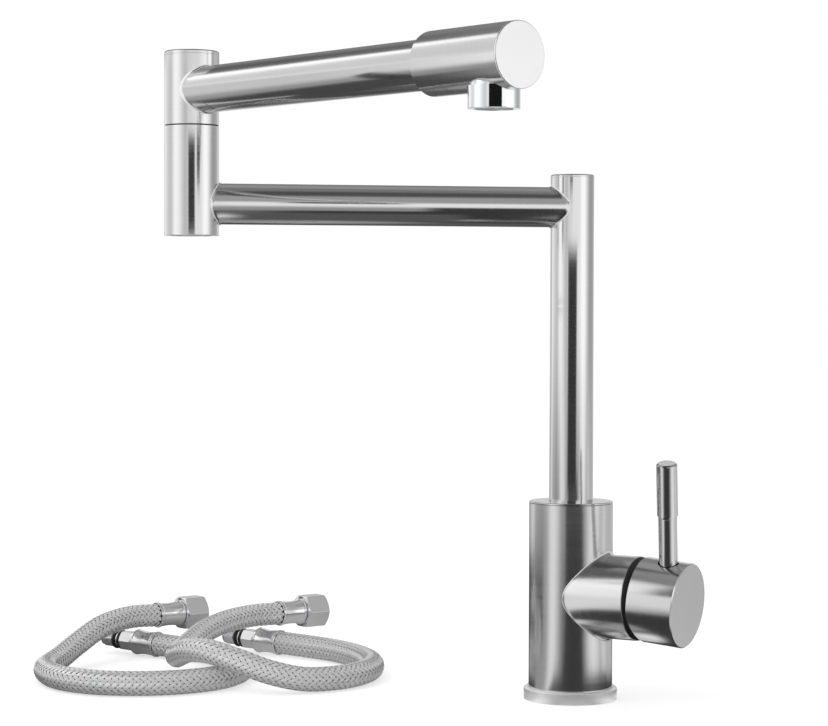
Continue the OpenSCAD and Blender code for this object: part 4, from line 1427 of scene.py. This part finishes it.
@dataclass
class Column:
    """The fixed body: deck ring, column with its collar, and the branch for the cartridge.

    The weld gives heights on the branch and how far its surface swells there.
    """

    diameter: float = 46.0
    bore: float = 38.0
    foot: float = 3.0
    seam: float = 107.95
    top: float = 109.3
    ring_d: float = 51.3
    ring_h: float = 7.0
    screw_z: float = 89.65
    screw_hole_d: float = 6.1
    branch_z: float = 57.9
    branch_d: float = 45.8
    branch_end: float = 42.0
    opening_d: float = 35.0
    throat_d: float = 35.4
    mouth_d: float = 38.0
    mouth_depth: float = 8.0
    weld: Profile = ((0.0, 2.0), (0.5, 1.0), (1.2, 0.4), (2.4, 0.0))
    bead: float = 0.6
    mitre: float = 5.0
    seat_gap: float = 0.02
    side_turn: float = 1.478
    side_ease: float = 0.115

    def build(self) -> None:
        """Make the column's pieces and dress the inner ones."""
        self._ring()
        self._tube()
        self._collar()
        self._branch()
        self._cover()
        branch = moved(z=self.branch_z) @ ALONG_X
        screw = moved(z=self.screw_z) @ ALONG_X
        for node, finish, axis in (
            ("base_gasket", RUBBER, UPRIGHT), ("base_plug", BRASS, UPRIGHT), ("feed_tubes", BRASS, UPRIGHT),
            ("valve_block", BRASS, UPRIGHT), ("riser_bush", WHITE_PLASTIC, UPRIGHT),
            ("swivel_screw", FASTENER, screw), ("cartridge_base", GREY_PLASTIC, branch),
            ("port_seals", RUBBER, branch), ("fixed_disc", CERAMIC, branch),
            ("cartridge_shell", GREY_PLASTIC, branch), ("cartridge_nut", BRASS, branch),
            ("cartridge_rotor", WHITE_PLASTIC, branch),
            ("pivot_pin", FASTENER, branch), ("moving_disc", CERAMIC, branch),
            ("disc_carrier", WHITE_PLASTIC, branch),
        ):
            carried(node, finish, axis)

    def _ring(self) -> None:
        """Make the deck ring."""
        r, high = self.ring_d / 2, self.ring_h
        bore, groove, socket, chamfer = 20, 1.5, self.diameter / 2 + 0.1, 0.9
        profile = [
            (bore, 0), (21, 0), (21, groove), (23, groove), (23, 0), (r - 0.2, 0), (r, 0.2),
            (r, high - chamfer), (r - chamfer, high), (socket, high), (socket, self.foot), (bore, self.foot),
        ]
        placed(turned(profile), "deck_ring", UPRIGHT, "body", RING_STEEL, ("base_ring",), 0.25)

    def _tube(self) -> None:
        """Make the column, open towards the branch and drilled for the screw at the back."""
        r, inner = self.diameter / 2, self.bore / 2
        # The levels between the ends only keep the long faces even where the cuts are
        levels = [self.foot, 30, self.branch_z + 24, self.screw_z - 5, self.screw_z + 5, self.seam]
        profile = [(r, z) for z in levels] + [(inner, z) for z in reversed(levels)]
        opening = laid(rod(10, 40, self.opening_d), moved(z=self.branch_z) @ ALONG_X)
        screw_hole = laid(rod(-30, -10, self.screw_hole_d, 48), moved(z=self.screw_z) @ ALONG_X)
        shape = carved(carved(turned(profile), opening), screw_hole)
        placed(shape, "column", UPRIGHT, "body", BODY_STEEL, ("column_tube",), 0.2)

    def _collar(self) -> None:
        """Make the flange that closes the column round the riser."""
        r, seam, top = self.diameter / 2, self.seam, self.top
        bore, pocket, plug, plug_foot, edge = 12.3, 13.9, self.bore / 2 - 0.05, 99.95, 0.3
        profile = [
            (bore, seam - 0.05), (pocket, seam - 0.05), (pocket, plug_foot), (plug, plug_foot), (plug, seam),
            (r - 0.7, seam), (r - 0.7, seam + 0.3), (r, seam + 0.4), (r, top - edge), (r - edge, top),
            (bore, top),
        ]
        placed(turned(profile), "collar", UPRIGHT, "body", BODY_STEEL, ("top_collar",), 0.12)

    def _branch(self) -> None:
        """Make the branch, mitred to the column with a soft weld."""
        r, end = self.branch_d / 2, self.branch_end
        mouth, throat, mouth_foot = self.mouth_d / 2, self.throat_d / 2, end - self.mouth_depth
        outer = [(r, height) for height, _ in self.weld] + [(r, end)]
        inner = [(mouth, end), (mouth, mouth_foot), (throat, mouth_foot), (throat, 3.0), (throat, 0)]
        shape = turned(outer + inner)
        beaded(shape, r, self.bead)
        for vert in shape.verts:
            if vert.co.z < self.mitre:
                self._move_to_column(vert)
        place = moved(z=self.branch_z) @ ALONG_X
        welded(placed(shape, "branch", place, "body", BODY_STEEL, ("branch_tube",), 0.3), place)

    def _move_to_column(self, vert: bmesh.types.BMVert) -> None:
        """Move a point near the branch's end onto the column.

        At its sides the branch is nearly as wide as the column, so there its edge is eased to a round tip.

        Args:
            vert: The point, of the branch's straight end.
        """
        r, seat = self.branch_d / 2, self.diameter / 2 - self.seat_gap
        height, radius = vert.co.z, math.hypot(vert.co.x, vert.co.y)
        swell = 0.0
        if radius > r - 0.1:
            swell = dict(self.weld).get(round(height, 3), 0.0) * (vert.co.x / radius) ** 2
        turn = math.asin(vert.co.y / seat)
        turn *= 1 - self.side_ease * (turn / self.side_turn) ** 6
        free = min(height / self.weld[-1][0], 1.0)
        free = free * free * (3 - 2 * free)
        vert.co.x *= 1 + swell / r
        vert.co.y = seat * math.sin(turn) * (1 - free) + vert.co.y * free
        vert.co.z = seat * math.cos(turn) + height

    def _cover(self) -> None:
        """Make the black ring in the gap under the cap, with its thin flange on the branch's end; the black
        flange filling the gap is painted shade.
        """
        end = self.branch_end
        foot, flange = end - 0.6, end + 0.15
        # The inner ring is black plastic; the wide black flange fills the gap between the branch and the cap
        # as painted shade.
        skirt, rim, flange_r, neck = 17.3, 18.5, 22.5, 10.7
        profile = [
            (skirt, foot), (rim, foot), (rim, end), (flange_r, end), (flange_r, flange), (rim, flange),
            (rim, foot + 1.8), (15.3, foot + 4.4), (neck, foot + 4.8), (neck, foot + 3.8),
            (14.7, foot + 3.4), (skirt, foot + 1.4),
        ]
        place = moved(z=self.branch_z) @ ALONG_X
        placed(turned(profile), "gap_ring", place, "body", BLACK_PLASTIC, ("cover_ring",), 0.0)


# Handle


@dataclass
class Handle:
    """The cap over the cartridge and the lever that is screwed through it.

    The wedge gives the two corners, along and across the cap, of the slanted cut under it.
    """

    branch_z: float = 57.9
    roll: float = 13.7
    tilt: float = 5.0
    pivot: float = 45.0
    diameter: float = 45.8
    back: float = -0.7
    front: float = 25.4
    wall: float = 3.5
    edge: float = 0.5
    wedge: Profile = ((-0.7, -1.5), (4.634, -23.0))
    wedge_width: float = 80.0
    full_from: float = 4.8
    boss_d: float = 19.0
    boss_reach: float = 4.8
    square: float = 8.0
    lever_x: float = 14.4
    lever_hole_d: float = 11.4
    screw_hole_d: float = 5.1
    rod_d: float = 10.0
    rod_foot: float = 4.2
    rod_shoulder: float = 9.8
    grip_d: float = 11.2
    grip_from: float = 49.0
    grip_edge: float = 0.9
    lever_top: float = 79.3

    def build(self) -> None:
        """Make the cap and the lever and dress the inner pieces."""
        rolled = moved(z=self.branch_z) @ turned_by("X", self.roll)
        cap = rolled @ moved(x=self.pivot) @ turned_by("Y", self.tilt)
        lever = cap @ moved(x=self.lever_x)
        self._cap(cap)
        self._lever(lever)
        carried("cartridge_spindle", FASTENER, cap @ ALONG_X)
        carried("handle_screw", FASTENER, lever)

    def _cap(self, place: Matrix) -> None:
        """Make the cap with its cavity, boss, wedge and holes, and its ground face.

        Args:
            place: Frame in the middle of the cap's back, whose X looks out along the branch.
        """
        r, boss, square = self.diameter / 2, self.boss_d / 2, self.square / 2
        inner = r - self.wall
        front, floor, boss_back = self.front, self.front - self.wall, self.lever_x - self.boss_reach
        profile = [
            (0, front), (r - self.edge, front), (r, front - self.edge), (r, self.full_from), (r, self.back),
            (inner, self.back), (inner, self.full_from), (inner, floor), (boss, floor), (boss, boss_back),
            (square, boss_back), (square, floor - 1), (0, floor - 1),
        ]
        lever_hole = laid(rod(9.6, 40, self.lever_hole_d, 64), moved(x=self.lever_x))
        screw_hole = laid(rod(-40, -8, self.screw_hole_d, 48), moved(x=self.lever_x))
        shape = laid(turned(profile), ALONG_X)
        for cutter in (self._wedge(), lever_hole, screw_hole):
            shape = carved(shape, cutter)
        piece = placed(shape, "cap", place, "handle", BODY_STEEL, ("handle_cap",), 0.25, place @ ALONG_X)
        faced(piece, place @ ALONG_X @ moved(z=front), CAP_STEEL)

    def _wedge(self) -> bmesh.types.BMesh:
        """Make the block that cuts the cap's lower back at a slant, so that it can tilt.

        Returns:
            The block, in the cap's frame.
        """
        wedge = bmesh.new()
        half = self.wedge_width / 2
        (start, high), (end, low) = self.wedge
        clear = start - 3
        outline = [(clear, high), (start, high), (end, low), (end, -half), (clear, -half)]
        face = wedge.faces.new([wedge.verts.new((x, -half, z)) for x, z in outline])
        pulled = bmesh.ops.extrude_face_region(wedge, geom=[face])["geom"]
        verts = [item for item in pulled if isinstance(item, bmesh.types.BMVert)]
        bmesh.ops.translate(wedge, verts=verts, vec=(0, self.wedge_width, 0))
        bmesh.ops.recalc_face_normals(wedge, faces=wedge.faces)
        return wedge

    def _lever(self, place: Matrix) -> None:
        """Make the lever with its thicker grip.

        Args:
            place: Frame where its axis meets the cap's, whose Z looks along it.
        """
        stud, rod_r, grip_r, top = 2.5, self.rod_d / 2, self.grip_d / 2, self.lever_top
        foot, shoulder, grip, edge = self.rod_foot, self.rod_shoulder, self.grip_from, self.grip_edge
        profile = [
            (0, foot), (stud, foot), (stud, shoulder), (rod_r, shoulder), (rod_r, grip - 0.3),
            (rod_r - 0.15, grip), (grip_r, grip + 1.2), (grip_r, top - edge), (grip_r - edge, top), (0, top),
        ]
        piece = placed(turned(profile, 96), "lever", place, "handle", TUBE_STEEL, ("lever_rod",), 0.15)
        faced(piece, place @ moved(z=top), LEVER_STEEL)


# Riser and spout


@dataclass
class Riser:
    """The riser that swivels in the column, with the lower arm and the lower half of the hinge."""

    diameter: float = 24.0
    bore: float = 21.0
    foot: float = 100.05
    top: float = 288.3
    lid_h: float = 1.5
    lid_plug_d: float = 20.9
    lid_plug_h: float = 4.0
    arm_d: float = 22.0
    arm_bore: float = 19.0
    arm_z: float = 270.5
    arm_length: float = 208.6
    azimuth: float = 220.5
    sleeve_d: float = 29.2
    sleeve_bore: float = 23.0
    sleeve_foot: float = 253.4
    sleeve_top: float = 311.7
    plug_h: float = 1.5
    washer_top: float = 312.2
    bead: float = 0.5
    mitre: float = 5.0

    def build(self) -> None:
        """Make the riser, the arm and the sleeve and dress the inner pieces."""
        r, inner, end = self.diameter / 2, self.bore / 2, self.top - self.lid_h
        tube = turned([(r, self.foot), (r, end), (inner, end), (inner, self.foot)])
        placed(tube, "riser", UPRIGHT, "riser", TUBE_STEEL, ("riser_tube",), 0.06)
        closed = lid(end - self.lid_plug_h, end, self.top, self.lid_plug_d, self.diameter, 0.6)
        placed(closed, "riser_lid", UPRIGHT, "riser", TUBE_STEEL, ("riser_cap",), 0.06)
        self._arm()
        self._sleeve()
        for node, finish in (("riser_spigot", BRASS), ("riser_orings", RUBBER)):
            carried(node, finish)

    def hinge(self) -> Matrix:
        """Return the frame on the hinge's axis, with its own axes as the row frame's."""
        return turned_by("Z", self.azimuth) @ moved(x=self.arm_length) @ turned_by("Z", -self.azimuth)

    def _arm(self) -> None:
        """Make the lower arm between the riser and the hinge."""
        place = turned_by("Z", self.azimuth) @ moved(z=self.arm_z) @ ALONG_X
        shape = welded_tube(self.arm_d, self.arm_bore, self.arm_length)
        beaded(shape, self.arm_d / 2, self.bead, self.arm_length - self.bead)
        seated(shape, self.diameter, self.mitre)
        seated(shape, self.sleeve_d, self.mitre, self.arm_length)
        welded(placed(shape, "lower_arm_tube", place, "riser", TUBE_STEEL, ("lower_arm",), 0.15), place)

    def _sleeve(self) -> None:
        """Make the lower sleeve of the hinge, its foot and the washer on it."""
        place = self.hinge()
        r, inner = self.sleeve_d / 2, self.sleeve_bore / 2
        foot, top, edge = self.sleeve_foot, self.sleeve_top, 0.15
        sleeve = turned([(inner, foot), (r - edge, foot), (r, foot + edge), (r, top), (inner, top)])
        placed(sleeve, "hinge_sleeve_low", place, "riser", TUBE_STEEL, ("lower_sleeve",), 0.3)
        fit, plug_top = inner - 0.05, foot + self.plug_h
        plug = turned([
            (0, foot + 0.5), (inner - 0.9, foot + 0.3), (fit, foot + 0.6), (fit, plug_top), (0, plug_top),
        ])
        placed(plug, "hinge_foot_plug", place, "riser", CAP_STEEL, ("sleeve_plug",), 0.15)
        bore, rim, high = inner + 0.2, r - 0.4, self.washer_top
        washer = turned([(bore, top), (rim, top), (rim, high), (bore, high)])
        placed(washer, "hinge_seam", place, "riser", BLACK_PLASTIC, ("hinge_washer",), 0.08)


def welded_tube(diameter: float, bore: float, length: float, welds: int = 2) -> bmesh.types.BMesh:
    """Make a tube along Z whose ends flare a little into their welds.

    Args:
        diameter: Outer diameter.
        bore: Inner diameter.
        length: Distance between the axes of what it joins, or its own length if only one end is welded.
        welds: 2, or 1 for a weld at the lower end alone.

    Returns:
        The mesh, still with straight ends.
    """
    r, inner, loop = diameter / 2, bore / 2, 4.0
    low = [(r + 0.9, 0.0), (r + 0.4, 0.35), (r + 0.12, 0.8), (r, 1.5), (r, loop)]
    high = [(radius, length - height) for radius, height in reversed(low)]
    back = [(inner, length), (inner, length - loop), (inner, loop), (inner, 0.0)]
    if welds == 1:
        high, back = [(r, length)], [back[0]] + back[2:]
    return turned(low + high + back)


@dataclass
class Spout:
    """The upper half of the hinge, the upper arm, its head and the aerator."""

    hinge: Matrix
    azimuth: float = 342.3
    level: float = 330.5
    sleeve_d: float = 29.2
    sleeve_from: float = 312.3
    sleeve_to: float = 349.6
    sleeve_bore: float = 23.0
    top: float = 351.6
    lid_plug_d: float = 22.9
    lid_plug_h: float = 3.0
    arm_d: float = 24.6
    arm_bore: float = 21.6
    arm_end: float = 209.6
    bead: float = 0.5
    mitre: float = 5.0
    head_d: float = 31.2
    head_bore: float = 24.7
    head_from: float = 194.6
    head_to: float = 252.4
    face: float = 253.4
    disc_bore: float = 22.2
    disc_plug_d: float = 22.1
    disc_plug_h: float = 2.5
    outlet: float = 236.0
    outlet_hole_d: float = 25.2
    ring_d: float = 24.4
    ring_foot: float = -23.7
    ring_top: float = -13.1

    def build(self) -> None:
        """Make the spout's pieces and dress the inner ones."""
        level = self._level()
        self._sleeve()
        self._arm(level)
        self._head(level)
        outlet = self.outlet_frame()
        self._aerator(outlet)
        for node, finish, axis in (
            ("hinge_shaft", BRASS, self.hinge), ("hinge_orings", RUBBER, self.hinge),
            ("hinge_nut", FASTENER, self.hinge), ("aerator_insert", WHITE_PLASTIC, outlet),
            ("aerator_screens", FASTENER, outlet), ("aerator_washer", RUBBER, outlet),
        ):
            carried(node, finish, axis)

    def _level(self) -> Matrix:
        """Return the frame at the hinge whose X runs along the upper arm."""
        return self.hinge @ turned_by("Z", self.azimuth) @ moved(z=self.level)

    def outlet_frame(self) -> Matrix:
        """Return the frame in the upper arm's axis, over the outlet."""
        return self._level() @ moved(x=self.outlet)

    def _sleeve(self) -> None:
        """Make the upper sleeve and its lid."""
        r, inner, low, high = self.sleeve_d / 2, self.sleeve_bore / 2, self.sleeve_from, self.sleeve_to
        sleeve = turned([(inner, low), (r, low), (r, high), (inner, high)])
        placed(sleeve, "hinge_sleeve_high", self.hinge, "spout", TUBE_STEEL, ("upper_sleeve",), 0.1)
        closed = lid(high - self.lid_plug_h, high, self.top, self.lid_plug_d, self.sleeve_d, 0.6)
        placed(closed, "hinge_lid", self.hinge, "spout", TUBE_STEEL, ("hinge_cap",), 0.1)

    def _arm(self, level: Matrix) -> None:
        """Make the upper arm.

        Args:
            level: Frame at the hinge whose X runs along the arm.
        """
        place = level @ ALONG_X
        shape = welded_tube(self.arm_d, self.arm_bore, self.arm_end, 1)
        beaded(shape, self.arm_d / 2, self.bead)
        seated(shape, self.sleeve_d, self.mitre)
        welded(placed(shape, "upper_arm_tube", place, "spout", TUBE_STEEL, ("upper_arm",), 0.15), place)

    def _head(self, level: Matrix) -> None:
        """Make the head with its outlet and its pale end disc.

        Args:
            level: Frame at the hinge whose X runs along the arm.
        """
        r, start, end, stop = self.head_d / 2, self.head_from, self.head_to, self.arm_end
        socket, way, recess, edge = self.head_bore / 2, 6, self.disc_bore / 2, 0.1
        profile = [
            (socket, start), (r - edge, start), (r, start + edge), (r, self.outlet - 15), (r, end),
            (recess, end), (recess, end - 3), (way, end - 3), (way, stop), (socket, stop),
        ]
        outlet_hole = laid(rod(-40, self.ring_top, self.outlet_hole_d), moved(x=self.outlet))
        shape = carved(laid(turned(profile), ALONG_X), outlet_hole)
        placed(shape, "head", level, "spout", TUBE_STEEL, ("spout_head",), 0.25, level @ ALONG_X)
        disc = lid(end - self.disc_plug_h, end, self.face, self.disc_plug_d, self.head_d, 0.3)
        placed(disc, "head_disc", level @ ALONG_X, "spout", END_STEEL, ("head_cap",), 0.15)

    def _aerator(self, outlet: Matrix) -> None:
        """Make the polished ring of the aerator.

        Args:
            outlet: Frame in the arm's axis, over the outlet.
        """
        r, foot, top = self.ring_d / 2, self.ring_foot, self.ring_top
        mouth, thread, bore, edge = 9.0, 10.9, 9.65, 0.15
        lip, end = foot + 1.6, top + 4
        profile = [
            (mouth, foot + 0.2), (mouth + 0.3, foot), (r - edge, foot), (r, foot + edge), (r, top),
            (thread, top), (thread, end), (bore, end), (bore, lip), (mouth, lip),
        ]
        placed(turned(profile), "outlet_ring", outlet, "spout", CHROME, ("aerator_ring",), 0.05)


# The scene

# Heights of the hoses' knots: the first one lies flat, and the second one crosses over it
RISES_A = (8, 7.5, 7.2, 7.2, 7.2, 7.2, 7.2, 7.2, 7.2, 7.2, 7.2, 7.2, 7.2, 7.2, 7.2, 7.2, 9, 15, 22, 25, 25)
RISES_B = (8, 7.5, 7.2, 7.2, 7.2, 7.2, 7.2, 7.2, 7.2, 8, 12, 18, 22, 21, 16, 13, 16, 21, 24, 25, 25)


def main() -> None:
    """Build the camera, the hoses, the faucet and the studio."""
    logging.basicConfig(level=logging.INFO, format="%(message)s", stream=sys.stdout)
    bpy.context.scene.view_settings.view_transform = "Standard"
    Camera().build()
    SupplyHose("a", RISES_A, (0.0, 0.0)).build()
    SupplyHose("b", RISES_B, (75.0, 6.0)).build()
    Column().build()
    Handle().build()
    riser = Riser()
    riser.build()
    spout = Spout(riser.hinge())
    spout.build()
    Studio(riser.hinge(), spout.outlet_frame()).build()


if __name__ == "__main__":
    main()
